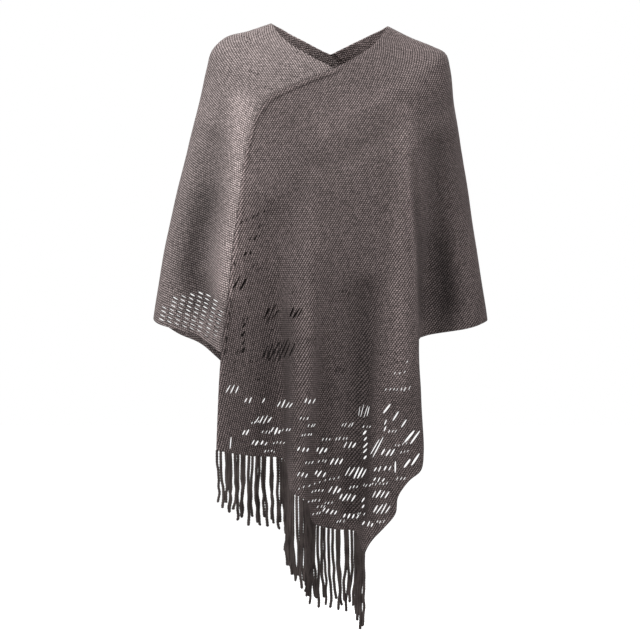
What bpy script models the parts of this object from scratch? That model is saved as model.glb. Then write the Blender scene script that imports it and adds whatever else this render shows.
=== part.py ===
"""Knitted poncho sweater: two knitted panels sewn together over a V neck, with a fringed front hem.

The cloth hangs as it is worn, round an empty hollow. Lengths in the tables are millimetres, +Z is up,
-Y is the front and the origin lies between the shoulders, at the height where they carry the cloth.
The garment is drawn on one surface: an angle round the body (0 in front, 90 at the right of the front
view, 180 behind) and a way down from the neck edge, measured along the side.
"""

import bpy
import numpy as np

MM = 0.001
WALL = 2.4  # knitted cloth, one layer
SEAM_GAP = 0.5  # between the edges of two pieces that are sewn together
CORNER_TURN = 0.3  # degrees between the two panels' corners at the front V
CELLS_ACROSS = 20  # mesh cells across a panel, which both seams share
ROWS_FREE = 5  # mesh rows along the free edge below the front seam
ROWS_NECK = 11  # mesh rows along one panel's half of the neck edge
SQUARENESS = 2.1  # of the plan section, where 2 is an ellipse
STEEPNESS = 6.0  # power of the steep share of the front's fall
VEE_SIDE = 10.0  # the front V lies this far to the right of the middle
VEE_FADE = 150.0  # way down at which the neckline's V no longer shows in the cloth
SIDEWAYS = 0.3  # share of a fold's way out that goes to the side where the cloth faces the side
FINE_STEPS = 40  # steps in each cell when a curve is measured
BEND = 0.35  # share of a panel's length over which its courses turn to lie along its two ends

# Sections round the body. down: way from the neck edge along the side. left, right: half widths.
# front, back: depths. The next four are heights at the sides, the front and the back. vee: 1 where
# the height falls in straight lines to the middle, as at the neckline, 2 where it is rounded. steep: the
# share of the front's fall that comes close to the sides, where the neckline drops off the shoulders.
RING_COLUMNS = ("down", "left", "right", "front", "back",
                "side_left", "side_right", "middle_front", "middle_back", "vee", "steep")
RINGS = {
    "neck edge": (0, 97, 97, 80, 58, 21, 16, -58, -29, 1.0, 0.3),
    "collar": (40, 136, 133, 94, 76, 7, -3, -84, -57, 1.45, 0.2),
    "shoulder": (82, 176, 173, 106, 92, -5, -19, -112, -88, 1.75, 0.08),
    "shoulder bend": (110, 196, 194, 113, 101, -26, -31, -130, -108, 1.9, 0),
    "upper arm": (138, 204, 201, 119, 107, -54, -55, -148, -128, 2.0, 0),
    "chest": (200, 219, 209, 130, 117, -115, -115, -190, -176, 2.0, 0),
    "bust": (278, 238, 221, 139, 122, -191, -191, -240, -232, 2.0, 0),
    "waist": (405, 266, 239, 142, 121, -315, -315, -315, -315, 2.0, 0),
    "sleeve hem": (560, 293, 263, 138, 120, -470, -470, -470, -470, 2.0, 0),
    "front point": (960, 296, 298, 134, 118, -870, -870, -870, -870, 2.0, 0),
}

# Folds, each a crest or a trough that runs down the cloth. angle: its place on the surface. side: its
# distance right of the middle, seen from the front, where it is full. out: how far it stands out of
# the section, or in if less than 0. start, full: the way down at which it begins and is full.
FOLD_COLUMNS = ("angle", "side", "out", "start", "full")
FOLDS = {
    "back middle": (-180, 0, -8, 300, 640),
    "back left crest": (-158, -104, 12, 260, 620),
    "back left trough": (-138, -192, -14, 260, 600),
    "back left edge": (-118, -256, 6, 260, 600),
    "left side": (-90, -293, 0, 200, 560),
    "left sleeve crest": (-70, -278, 4, 240, 540),
    "left sleeve valley": (-52, -226, -34, 240, 540),
    "wrap crest": (-38.5, -182, 10, 240, 600),
    "wrap flank": (-30, -140, -22, 380, 720),
    "left trough": (-22, -84, -50, 330, 780),
    "left step crest": (-12, -62, 18, 320, 780),
    "middle crest": (-6, -42, 18, 300, 780),
    "middle step trough": (2, -25, -34, 420, 800),
    "middle trough": (11, 18, -38, 400, 800),
    "right step trough": (17, 42, -30, 420, 820),
    "right step crest": (24, 61, 8, 360, 860),
    "right crest": (32, 116, 20, 250, 700),
    "right ridge": (38, 144, 8, 250, 640),
    "right ridge wall": (45, 160, -44, 260, 620),
    "right sleeve valley": (52, 182, -64, 260, 590),
    "right sleeve crest": (66, 230, -10, 260, 560),
    "right side": (90, 263, 0, 200, 560),
    "back right edge": (118, 232, 6, 260, 600),
    "back right trough": (136, 182, -16, 260, 600),
    "back right crest": (156, 104, 12, 260, 620),
    "back middle again": (180, 0, -8, 300, 640),
}

# The front seam, from the V to its foot, and the free edge below it: (side, height) seen from the front.
FRONT_SEAM = ((10, -58), (-20, -69), (-48, -80.5), (-77, -93), (-104, -110), (-121, -136), (-132, -172),
              (-140, -210), (-150, -290), (-160, -355), (-170, -445), (-181, -534))
FREE_EDGE = ((-181, -534), (-186, -617), (-188, -694))
# The seam behind, from the back V to its foot.
BACK_SEAM = ((1, -29), (28, -42), (56, -58), (84, -82), (106, -118), (119, -172), (131, -260), (140, -360),
             (148, -440), (152, -508))
# The fringed end of the right panel, which drops a step at each fold, from the free edge to the point.
FRINGED_HEM = ((-188, -694), (-130, -704), (-78, -709), (-64, -762), (-44, -774), (-29, -814), (8, -826),
               (40, -829), (58, -867))
# The plain hem of the right panel in front, from the point up to the crest beside the sleeve.
POINT_HEM = ((58, -867), (69, -846), (92, -821), (110, -798), (114, -771), (132, -745))
# Then, as (angle, height): round the crest and up behind it, the sleeve's hem and the hem behind.
RIGHT_HEM = ((37.5, -725), (39, -698), (40, -648), (40, -600), (39.5, -552), (41, -517), (50, -504),
             (60, -496), (70, -489), (80, -482), (90, -478), (105, -480), (120, -487), (134, -497))
LEFT_HEM = ((-43, -518), (-50, -505), (-60, -494), (-70, -485), (-80, -478), (-90, -473), (-105, -482),
            (-120, -502), (-130, -516), (-138, -540), (-146, -570), (-156, -594))
BACK_HEM = ((-156, -594), (-168, -602), (-184, -600), (-202, -575))
HEIGHT_AT_NO_DOWN = 90.0  # below the waist a point's height is this less its way down

# Fringe: a strip just under the fringed end, with strands of twisted yarn.
STRANDS = 60
STRIP_GAP = 0.8
STRIP_TALL = 8.0
STRAND_WIDE = 4.4
STRAND_THICK = 2.6
STRAND_STEPS = 3
SWAY = np.array([3.0, 1.5, 0.0])  # how far a strand's end sways, to the side and to the front
LENGTH_CHANGE = 0.08  # how much longer or shorter a strand is than its neighbours' mean
# Mean length of the strands at shares of the way along the fringed end, from the free edge to the point.
STRAND_PLACES = (0.0, 0.12, 0.35, 0.52, 0.62, 1.0)
STRAND_LENGTHS = (80, 102, 108, 138, 122, 118)

# Openwork. Each spray is a run of like slits, seen from the front. side, height: its middle. count: its
# slits. pitch, shift: the way from each slit to the next, across the slits (down to the right) and
# along them (up). long, wide: the largest slit. lean: degrees from level. taper: how much shorter the
# outer slits are, as a share.
SPRAY_COLUMNS = ("side", "height", "count", "pitch", "shift", "long", "wide", "lean", "taper")
SPRAYS = {
    "edge eyelets, top row": (-128, -306, 5, 6.6, 8.2, 9, 3.4, 64, 0.2),
    "edge eyelets, second row": (-124, -340, 3, 6.0, 6.2, 12, 3.4, 64, 0.2),
    "edge eyelets, third row": (-140, -368, 3, 6.0, 6.0, 9, 3.2, 66, 0.2),
    "edge eyelets, large pair": (-149, -416, 2, 10.4, 3.0, 23, 5.4, 66, 0.0),
    "edge column, single": (-134, -446, 1, 0, 0, 12, 4.0, 62, 0.0),
    "edge column": (-144, -507, 4, 7.0, -11.5, 12, 4.4, 58, 0.1),
    "edge column, foot": (-158, -560, 1, 0, 0, 10, 3.4, 62, 0.0),
    "edge slits, lower": (-162, -592, 3, 6.4, 3.0, 20, 3.2, 62, 0.3),
    "edge slit by the fringe": (-165, -681, 1, 0, 0, 18, 3.2, 86, 0.0),
    "bud, left": (-94, -460, 3, 6.4, 3.0, 26, 3.6, 62, 0.35),
    "bud, middle": (-56, -465, 3, 6.4, 3.0, 24, 3.6, 62, 0.35),
    "large leaf": (-85, -529, 7, 6.3, 3.6, 40, 3.6, 60, 0.5),
    "left sprig, top": (-136, -611, 2, 6.3, 3.0, 12, 3.2, 62, 0.3),
    "left sprig, dot": (-110, -612, 1, 0, 0, 9, 3.2, 62, 0.0),
    "left sprig, right": (-74, -618, 4, 6.3, 2.5, 17, 3.2, 60, 0.3),
    "left sprig, middle": (-110, -643, 4, 6.3, 3.0, 16, 3.2, 60, 0.3),
    "left sprig, lower": (-90, -662, 3, 6.3, 2.0, 12, 3.6, 62, 0.3),
    "left sprig, foot": (-117, -682, 4, 6.6, 3.0, 10, 3.4, 60, 0.2),
    "left sprig, edge": (-140, -664, 2, 6.4, 3.0, 11, 3.2, 60, 0.2),
    "high leaf": (57, -629, 3, 6.5, 3.0, 28, 3.8, 62, 0.3),
    "stack": (59, -685, 5, 6.4, -7.8, 10, 3.4, 52, 0.1),
    "twin slits": (78, -688, 2, 6.6, 1.0, 34, 3.4, 64, 0.0),
    "petals, top": (109, -636, 3, 18.0, -3.0, 19, 4.0, 58, 0.1),
    "petals, left": (93, -653, 2, 4.6, -9.5, 10, 3.2, 62, 0.0),
    "petals, right": (137, -672, 2, 9.0, 4.0, 27, 4.6, 56, 0.0),
    "petals, edge": (136, -712, 2, 8.2, 12.0, 21, 4.6, 58, 0.0),
    "petals, inner": (97, -697, 3, 6.8, 3.0, 17, 3.6, 62, 0.2),
    "petals, lower": (88, -724, 4, 6.6, 5.0, 11, 3.4, 60, 0.2),
    "petals, third row": (82, -742, 3, 6.4, 3.0, 9, 3.2, 60, 0.1),
    "petals, foot": (109, -722, 1, 0, 0, 17, 3.8, 84, 0.0),
    "bell, left": (-13, -694, 3, 6.4, 3.0, 13, 3.2, 62, 0.3),
    "bell, middle": (12, -713, 3, 6.6, 3.0, 14, 3.6, 60, 0.2),
    "bell, right": (34, -685, 3, 6.4, 3.0, 15, 3.4, 60, 0.3),
    "centre leaf": (44, -731, 5, 6.3, 3.0, 26, 3.4, 60, 0.4),
    "low leaf, left": (9, -761, 3, 6.4, 3.0, 16, 3.4, 60, 0.3),
    "low leaf, middle": (29, -773, 4, 6.3, 3.0, 18, 3.4, 60, 0.3),
    "low leaf, right": (85, -767, 4, 6.3, 3.0, 17, 3.4, 60, 0.3),
    "low leaf, point": (86, -791, 4, 6.3, 3.0, 22, 3.4, 60, 0.4),
    "foot dots": (36, -804, 4, 6.5, 2.5, 9, 3.4, 60, 0.1),
    "foot column": (56, -782, 2, 5.6, -9.0, 8, 3.2, 56, 0.0),
    "foot dots, left": (0, -796, 4, 6.5, 2.0, 9, 3.4, 60, 0.1),
    "ridge dots": (-45, -734, 3, 6.4, 2.0, 9, 3.2, 60, 0.1),
    "ridge sprig": (-44, -692, 3, 6.4, 2.5, 10, 3.2, 60, 0.2),
    "ridge sprig, high": (-33, -612, 3, 6.3, 3.0, 10, 3.2, 60, 0.2),
    "middle sprig": (-16, -733, 3, 6.4, 2.5, 11, 3.2, 60, 0.2),
    "point dots": (64, -816, 3, 6.5, 2.5, 9, 3.2, 60, 0.1),
}
# A ladder of slits beside the lower front seam, in line with it.
LADDER_SLIT = (12.0, 3.2)  # long, wide
LADDER_STEP = 21.0
LADDER_INSIDE = 6.0
LADDER_RANGE = (-384.0, -545.0)  # heights of its first and last slit
# The sleeve's lattice: leaning stacks of slits that follow the left sleeve's hem, in front and behind.
LATTICE_STACKS = (4, 7, 8, 9, 10, 10, 10, 8)  # slits in each stack, from the side to the seam
LATTICE_SIDE = -282.0
LATTICE_ABOVE_HEM = 14.0
LATTICE_STACK_STEP = 12.6
LATTICE_SLIT_STEP = (1.7, 6.6)
LATTICE_SLIT = (10.6, 3.0, -27.0)  # long, wide, lean
POINTED_FROM = 23.0  # slits longer than this have pointed ends
SHOULDER = 0.62  # where a point begins, as a share of the way from the slit's middle to its end
CUTTER_DEPTH = 36.0  # a cutter's way through the wall, from front to back

KNIT_COLOUR = (0.158, 0.137, 0.131, 1.0)
FRINGE_COLOUR = (0.125, 0.108, 0.104, 1.0)
ROUGHNESS = 0.95

# How a view point's place on the surface is found.
SMALL_STEP = 0.05  # degrees or millimetres over which a slope is taken
SEARCH_STEPS = 60
SEARCH_SHARE = 0.7  # of each step that is taken
LONGEST_TURN = 3.0  # degrees in one step
LONGEST_FALL = 25.0  # millimetres in one step
LEAST_AREA = 0.05  # a slope's least area, where the surface stands edge-on to the view


def columns(table, names):
    """A table as one array for each column."""
    return dict(zip(names, np.array(list(table.values()), float).T))


RING = columns(RINGS, RING_COLUMNS)
FOLD = columns(FOLDS, FOLD_COLUMNS)


def smoothstep(share):
    """From 0 to 1 with level ends, as the share goes from 0 to 1."""
    share = np.clip(share, 0, 1)
    return share * share * (3 - 2 * share)


def hermite(share, low, high, low_slope, high_slope):
    """The cubic from low to high whose slopes at its ends are given for the whole interval."""
    square, cube = share**2, share**3
    return (
        low * (2 * cube - 3 * square + 1)
        + high * (3 * square - 2 * cube)
        + low_slope * (cube - 2 * square + share)
        + high_slope * (cube - square)
    )


def spline(at, knots, values):
    """A smooth curve through the values at the knots."""
    knots = np.asarray(knots, float)
    values = np.asarray(values, float)
    slopes = np.gradient(values, knots)
    i = np.clip(np.searchsorted(knots, at, side="right") - 1, 0, len(knots) - 2)
    gap = knots[i + 1] - knots[i]
    share = (at - knots[i]) / gap
    return hermite(share, values[i], values[i + 1], slopes[i] * gap, slopes[i + 1] * gap)


def section(angle, down):
    """The surface with no folds: a superellipse in plan, whose height falls from the sides to the middle."""
    ring = {name: spline(down, RING["down"], RING[name]) for name in RING_COLUMNS[1:]}
    turn = np.radians(angle)
    sine, cosine = np.sin(turn), np.cos(turn)
    reach = (np.abs(sine) ** SQUARENESS + np.abs(cosine) ** SQUARENESS) ** (-1 / SQUARENESS)
    across = sine * reach
    width = np.where(sine < 0, ring["left"], ring["right"])
    depth = np.where(cosine > 0, ring["front"], ring["back"])
    shift = np.where(cosine > 0, VEE_SIDE, 0) / width * (1 - smoothstep(down / VEE_FADE))
    from_vee = across - shift
    way = np.clip(np.abs(from_vee) / (1 - np.sign(from_vee) * shift), 0, 1)
    steep = np.where(cosine > 0, ring["steep"], 0)
    fall = (1 - steep) * way ** ring["vee"] + steep * way**STEEPNESS
    side = np.where(sine < 0, ring["side_left"], ring["side_right"])
    middle = np.where(cosine > 0, ring["middle_front"], ring["middle_back"])
    return np.stack([width * across, -depth * cosine * reach, middle + (side - middle) * fall], axis=-1)


def fold_push():
    """How far each fold moves the cloth where it is full: to the right, and out of the section."""
    at_full = section(FOLD["angle"], FOLD["full"])
    return FOLD["side"] - at_full[:, 0], FOLD["out"]


def surface(angle, down):
    """A point of the cloth's middle layer, with its folds: each moves it to the side and out or in."""
    wrapped = (angle + 180) % 360 - 180
    point = section(angle, down)
    to_side, outward = fold_push()
    last = len(FOLD["angle"]) - 1
    i = np.clip(np.searchsorted(FOLD["angle"], wrapped, side="right") - 1, 0, last - 1)
    near = [np.maximum(i - 1, 0), i, i + 1, np.minimum(i + 2, last)]
    grown = [smoothstep((down - FOLD["start"][j]) / (FOLD["full"][j] - FOLD["start"][j])) for j in near]
    gap = FOLD["angle"][i + 1] - FOLD["angle"][i]
    share = (wrapped - FOLD["angle"][i]) / gap
    moved = []
    for push in (to_side, outward):
        at = [push[j] * grow for j, grow in zip(near, grown)]
        low_slope = (at[2] - at[0]) / (FOLD["angle"][near[2]] - FOLD["angle"][near[0]] + 1e-9) * gap
        high_slope = (at[3] - at[1]) / (FOLD["angle"][near[3]] - FOLD["angle"][near[1]] + 1e-9) * gap
        moved.append(hermite(share, at[1], at[2], low_slope, high_slope))
    turn = np.radians(angle)
    point[..., 0] += moved[0] + moved[1] * np.sin(turn) * SIDEWAYS
    point[..., 1] -= moved[1] * np.cos(turn)
    return point


def chart_of(view_points, angle, down):
    """Angle and way down of points given as (side, height), by Newton's method from a first guess."""
    for _ in range(SEARCH_STEPS):
        here = surface(angle, down)[:, [0, 2]]
        by_angle = (surface(angle + SMALL_STEP, down)[:, [0, 2]] - here) / SMALL_STEP
        by_down = (surface(angle, down + SMALL_STEP)[:, [0, 2]] - here) / SMALL_STEP
        miss = view_points - here
        area = by_angle[:, 0] * by_down[:, 1] - by_angle[:, 1] * by_down[:, 0]
        area = np.where(np.abs(area) < LEAST_AREA, np.copysign(LEAST_AREA, area), area)
        turn = (miss[:, 0] * by_down[:, 1] - miss[:, 1] * by_down[:, 0]) / area
        fall = (miss[:, 1] * by_angle[:, 0] - miss[:, 0] * by_angle[:, 1]) / area
        angle = angle + SEARCH_SHARE * np.clip(turn, -LONGEST_TURN, LONGEST_TURN)
        down = np.maximum(down + SEARCH_SHARE * np.clip(fall, -LONGEST_FALL, LONGEST_FALL), 0)
    return np.stack([angle, down], axis=1)


def beside(points, distance):
    """View points moved to the left of their line of travel: the right panel's side of both seams."""
    points = np.array(points, float)
    travel = np.gradient(points, axis=0)
    travel /= np.linalg.norm(travel, axis=1, keepdims=True)
    return points + distance * np.stack([-travel[:, 1], travel[:, 0]], axis=1)


def front_chart(view_points):
    """Chart points of points on the front, from a first guess at their place on a plain section."""
    side, height = np.array(view_points, float).T
    angle = np.degrees(np.arcsin(side / RING["left"][-1]))
    down = np.interp(-height, -RING["middle_front"], RING["down"])
    return chart_of(np.array(view_points, float), angle, down)


def back_chart(view_points):
    """Chart points of points behind."""
    side, height = np.array(view_points, float).T
    angle = 180 - np.degrees(np.arcsin(side / RING["right"][-1]))
    down = np.interp(-height, -RING["middle_back"], RING["down"])
    return chart_of(np.array(view_points, float), angle, down)


def hem_chart(rows):
    """Chart points of (angle, height) rows below the waist."""
    return [(angle, HEIGHT_AT_NO_DOWN - height) for angle, height in rows]


def path(knots, cells):
    """Chart points that part a smooth curve through the knots into cells of one length."""
    knots = np.array(knots, float)
    reach = np.linalg.norm(np.diff(surface(knots[:, 0], knots[:, 1]), axis=0), axis=1)
    marks = np.concatenate([[0], np.cumsum(reach)])
    fine = np.linspace(0, marks[-1], FINE_STEPS * cells + 1)
    curve = np.stack([spline(fine, marks, knots[:, 0]), spline(fine, marks, knots[:, 1])], axis=1)
    curve[:, 1] = np.maximum(curve[:, 1], 0)
    run = np.linalg.norm(np.diff(surface(curve[:, 0], curve[:, 1]), axis=0), axis=1)
    run = np.concatenate([[0], np.cumsum(run)])
    shares = np.linspace(0, run[-1], cells + 1)
    return np.stack([np.interp(shares, run, curve[:, 0]), np.interp(shares, run, curve[:, 1])], axis=1)


def patch(inner, outer, first_row, last_row):
    """A panel's chart points, a row for each course: straight from its inner to its outer edge, and
    turned near its two ends so that the first and last rows lie on them."""
    across = np.linspace(0, 1, CELLS_ACROSS + 1)[None, :, None]
    straight = inner[:, None] + (outer - inner)[:, None] * across
    way = np.linspace(0, 1, len(inner))[:, None, None]
    from_first = np.clip(1 - way / BEND, 0, 1) ** 2
    from_last = np.clip(1 - (1 - way) / BEND, 0, 1) ** 2
    return straight + (first_row - straight[0]) * from_first + (last_row - straight[-1]) * from_last


def right_panel_chart():
    """From the fringed end, over the chest and the right shoulder, to the seam behind."""
    half = SEAM_GAP / 2
    edge = beside(FRONT_SEAM + FREE_EDGE[1:], half)
    seam, free = edge[: len(FRONT_SEAM)], edge[len(FRONT_SEAM) - 1 :]
    seam_path = path(front_chart(seam), CELLS_ACROSS)[::-1]
    free_path = path(front_chart(free), ROWS_FREE)[::-1]
    back_seam = path(back_chart(beside(BACK_SEAM, half)), CELLS_ACROSS)
    neck = path([seam_path[-1], (30, 0), (60, 0), (90, 0), (120, 0), (150, 0), back_seam[0]], ROWS_NECK)
    inner = np.concatenate([free_path, seam_path[1:], neck[1:]])
    hem = front_chart(FRINGED_HEM)
    hem[0] = free_path[0]
    first_row = path(hem, CELLS_ACROSS)
    outer_knots = [first_row[-1], *front_chart(POINT_HEM[1:]), *hem_chart(RIGHT_HEM), back_seam[-1]]
    return patch(inner, path(outer_knots, len(inner) - 1), first_row, back_seam)


def left_panel_chart():
    """From the front seam, over the left shoulder and across the back, to its end in the hem behind."""
    half = SEAM_GAP / 2
    front_seam = path(front_chart(beside(FRONT_SEAM, -half)), CELLS_ACROSS)
    front_seam[0, 0] -= CORNER_TURN
    back_seam = path(back_chart(beside(BACK_SEAM, -half)), CELLS_ACROSS) - (360, 0)
    neck = path([front_seam[0], (-30, 0), (-60, 0), (-90, 0), (-120, 0), (-150, 0), back_seam[0]], ROWS_NECK)
    inner = np.concatenate([neck, back_seam[1:]])
    outer = path([front_seam[-1], *hem_chart(LEFT_HEM)], len(inner) - 1)
    last_row = path([back_seam[-1], *hem_chart(BACK_HEM)[::-1]], CELLS_ACROSS)
    return patch(inner, outer, front_seam, last_row)


def grid_faces(chart, middle):
    """The triangles of a grid of points whose rows go up and whose columns go to the right. Each cell
    is parted along the diagonal that lies nearer to the surface, so that the folds stay smooth."""
    at = np.arange(middle.shape[0] * middle.shape[1]).reshape(middle.shape[:2])
    corners = [(slice(0, -1), slice(0, -1)), (slice(0, -1), slice(1, None)),
               (slice(1, None), slice(1, None)), (slice(1, None), slice(0, -1))]
    a, b, c, d = (at[corner].ravel() for corner in corners)
    heart = sum(chart[corner] for corner in corners).reshape(-1, 2) / 4
    heart = surface(heart[:, 0], heart[:, 1])
    points = middle.reshape(-1, 3)
    rising = np.linalg.norm((points[a] + points[c]) / 2 - heart, axis=1)
    falling = np.linalg.norm((points[b] + points[d]) / 2 - heart, axis=1)
    by_rising = np.stack([a, b, c, a, c, d], axis=1)
    by_falling = np.stack([a, b, d, b, c, d], axis=1)
    return np.where((rising < falling)[:, None], by_rising, by_falling).reshape(-1, 3)


def new_object(name, points, faces, colour, collection):
    """A mesh object with its own material, from points in millimetres."""
    mesh = bpy.data.meshes.new(name)
    mesh.from_pydata((np.asarray(points) * MM).tolist(), [], np.asarray(faces).tolist())
    mesh.update()
    material = bpy.data.materials.new(name + "_knit")
    material.use_nodes = True
    shader = material.node_tree.nodes["Principled BSDF"]
    shader.inputs["Base Color"].default_value = colour
    shader.inputs["Roughness"].default_value = ROUGHNESS
    shader.inputs["Metallic"].default_value = 0.0
    mesh.materials.append(material)
    obj = bpy.data.objects.new(name, mesh)
    collection.objects.link(obj)
    return obj


def outward(angle, down):
    """The way straight out of the surface: across its steps to the right and down."""
    to_right = surface(angle + SMALL_STEP, down) - surface(angle - SMALL_STEP, down)
    downward = surface(angle, down + SMALL_STEP) - surface(angle, down)
    normal = np.cross(downward, to_right)
    return normal / np.linalg.norm(normal, axis=-1, keepdims=True)


def add_panel(name, chart, facing, collection):
    """A panel as a closed wall: its outer and inner layers lie half a wall either way of the surface,
    so that two panels meet at a seam with parallel rims. facing: -1 where its rows turn the other way."""
    rows, across = chart.shape[:2]
    angle, down = chart[..., 0].ravel(), chart[..., 1].ravel()
    half_wall = outward(angle, down) * WALL / 2
    middle = surface(angle, down)
    count = rows * across
    outer = grid_faces(chart, middle.reshape(rows, across, 3))[:, ::facing]
    at = np.arange(count).reshape(rows, across)
    rim = np.concatenate([at[0, :-1], at[:-1, -1], at[-1, :0:-1], at[:0:-1, 0]])[::facing]
    next_rim = np.roll(rim, -1)
    sides = [np.stack([rim, rim + count, next_rim], axis=1),
             np.stack([next_rim, rim + count, next_rim + count], axis=1)]
    faces = np.concatenate([outer, outer[:, ::-1] + count, *sides])
    points = np.concatenate([middle + half_wall, middle - half_wall])
    return new_object(name, points, faces, KNIT_COLOUR, collection)


def slit_outline(long, wide):
    """A slit with pointed ends if it is long, or a plain one: points round it, along its own axis."""
    half, thick = long / 2, wide / 2
    if long > POINTED_FROM:
        from_middle = half * SHOULDER
        return [(-half, 0), (-from_middle, -thick), (from_middle, -thick),
                (half, 0), (from_middle, thick), (-from_middle, thick)]
    return [(-half, -thick), (half, -thick), (half, thick), (-half, thick)]


def slit_cutter(centre, long, wide, lean):
    """A prism through the wall from front to back, as points and faces."""
    turn = np.radians(lean)
    axis = np.array([np.cos(turn), 0, np.sin(turn)])
    cross = np.array([-np.sin(turn), 0, np.cos(turn)])
    ring = [centre + axis * along + cross * over for along, over in slit_outline(long, wide)]
    reach = np.array([0, CUTTER_DEPTH / 2, 0])
    count = len(ring)
    points = [point - reach for point in ring] + [point + reach for point in ring]
    faces = [list(range(count)), list(range(2 * count - 1, count - 1, -1))]
    for i in range(count):
        j = (i + 1) % count
        faces.append([j, i, count + i, count + j])
    return points, faces


def add_cutters(name, slits, behind, collection):
    """All slits of a panel as one cutter. slits, behind: rows of side, height, long, wide, lean, of the
    slits in front and of those behind."""
    slits, behind = np.array(slits, float), np.array(behind, float).reshape(-1, 5)
    chart = front_chart(slits[:, :2])
    if len(behind):
        chart = np.concatenate([chart, back_chart(behind[:, :2])])
        slits = np.concatenate([slits, behind])
    centres = surface(chart[:, 0], chart[:, 1])
    points, faces = [], []
    for centre, (_, _, long, wide, lean) in zip(centres, slits):
        more_points, more_faces = slit_cutter(centre, long, wide, lean)
        faces += [[len(points) + i for i in face] for face in more_faces]
        points += more_points
    mesh = bpy.data.meshes.new(name)
    mesh.from_pydata((np.array(points) * MM).tolist(), [], faces)
    cutter = bpy.data.objects.new(name, mesh)
    cutter.hide_render = True
    cutter.display_type = "WIRE"
    collection.objects.link(cutter)
    return cutter


def spray_slits():
    """The slits of every spray, as (side, height, long, wide, lean)."""
    slits = []
    for row in SPRAYS.values():
        spray = dict(zip(SPRAY_COLUMNS, row))
        turn = np.radians(spray["lean"])
        step_side = spray["pitch"] * np.sin(turn) + spray["shift"] * np.cos(turn)
        step_height = -spray["pitch"] * np.cos(turn) + spray["shift"] * np.sin(turn)
        middle = (spray["count"] - 1) / 2
        for i in range(spray["count"]):
            long = spray["long"] * (1 - spray["taper"] * abs(i - middle) / max(middle, 1))
            side = spray["side"] + (i - middle) * step_side
            height = spray["height"] + (i - middle) * step_height
            slits.append((side, height, long, spray["wide"], spray["lean"]))
    return slits


def ladder_slits():
    """Slits in line with the right panel's inner edge, one below the other."""
    edge = beside(FRONT_SEAM + FREE_EDGE[1:], LADDER_INSIDE)[::-1]
    first, last = LADDER_RANGE
    slits = []
    for height in np.arange(first, last, -LADDER_STEP):
        side = np.interp(height, edge[:, 1], edge[:, 0])
        run = side - np.interp(height - LADDER_STEP, edge[:, 1], edge[:, 0])
        slits.append((side, height, *LADDER_SLIT, np.degrees(np.arctan2(LADDER_STEP, run))))
    return slits


def lattice_slits():
    """Stacks that stand on a line above the sleeve's hem and lean with the cloth."""
    hem = surface(*np.array(hem_chart(LEFT_HEM[:6])).T)
    order = np.argsort(hem[:, 0])
    long, wide, lean = LATTICE_SLIT
    slits = []
    for stack, count in enumerate(LATTICE_STACKS):
        side = LATTICE_SIDE + stack * LATTICE_STACK_STEP
        foot = np.interp(side, hem[order, 0], hem[order, 2]) + LATTICE_ABOVE_HEM
        for i in range(count):
            step_side, step_up = LATTICE_SLIT_STEP
            slits.append((side + i * step_side, foot + i * step_up, long, wide, lean))
    return slits


def cut(panel, cutter):
    """Cuts the openwork through the panel. The MANIFOLD solver is used as EXACT empties this mesh."""
    boolean = panel.modifiers.new("openwork", "BOOLEAN")
    boolean.operation = "DIFFERENCE"
    boolean.solver = "MANIFOLD"
    boolean.object = cutter


def fringe_line(hem):
    """Points of the strip's upper edge, two cells for each strand, with its way along and out."""
    marks = np.arange(len(hem))
    at = np.linspace(0, len(hem) - 1, 2 * STRANDS + 1)
    line = np.stack([np.interp(at, marks, hem[:, axis]) for axis in range(3)], axis=1)
    along = np.gradient(line, axis=0) * (1, 1, 0)
    along /= np.linalg.norm(along, axis=1, keepdims=True)
    return line, along, np.cross(along, (0, 0, 1))


def strand_rings(strand, root, along, out):
    """The corners of a strand's rings below its root, each ring in the order of the root's face."""
    length = np.interp((strand + 0.5) / STRANDS, STRAND_PLACES, STRAND_LENGTHS)
    length *= 1 + LENGTH_CHANGE * np.sin(2.3 * strand)
    rings = []
    for step in range(1, STRAND_STEPS + 1):
        share = step / STRAND_STEPS
        sway = SWAY * (np.sin(0.35 * strand + 2.2 * share), np.sin(0.5 * strand + 3 * share), 0)
        heart = root + share * sway - (0, 0, length * share)
        for out_sign, along_sign in ((1, -1), (-1, -1), (-1, 1), (1, 1)):
            rings.append(heart + (out_sign * STRAND_THICK * out + along_sign * STRAND_WIDE * along) / 2)
    return rings


def add_fringe(hem, collection):
    """A strip under the fringed end, whose lower rim runs out in strands, all in one skin. Every
    second cell's lower face is a strand's root."""
    line, along, out = fringe_line(hem)
    cells = len(line) - 1
    top, foot = STRIP_GAP, STRIP_GAP + STRIP_TALL
    rings = [line + side * out * WALL / 2 - (0, 0, drop)
             for side, drop in ((1, top), (1, foot), (-1, foot), (-1, top))]
    points = np.stack(rings, axis=1).reshape(-1, 3).tolist()
    last = 4 * cells
    faces = [[3, 2, 1, 0], [last, last + 1, last + 2, last + 3]]
    for cell in range(cells):
        a, b = 4 * cell, 4 * (cell + 1)
        ring = [a + 1, a + 2, b + 2, b + 1]
        faces += [[a, a + 1, b + 1, b], [a + 2, a + 3, b + 3, b + 2], [a + 3, a, b, b + 3]]
        if cell % 2 == 0:
            root = (line[cell] + line[cell + 1]) / 2 - (0, 0, foot)
            first = len(points)
            points += strand_rings(cell // 2, root, along[cell], out[cell])
            for _ in range(STRAND_STEPS):
                new = list(range(first, first + 4))
                faces += [[ring[i], ring[(i + 1) % 4], new[(i + 1) % 4], new[i]] for i in range(4)]
                ring = new
                first += 4
        faces.append(ring)
    return new_object("fringe", points, faces, FRINGE_COLOUR, collection)


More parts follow.
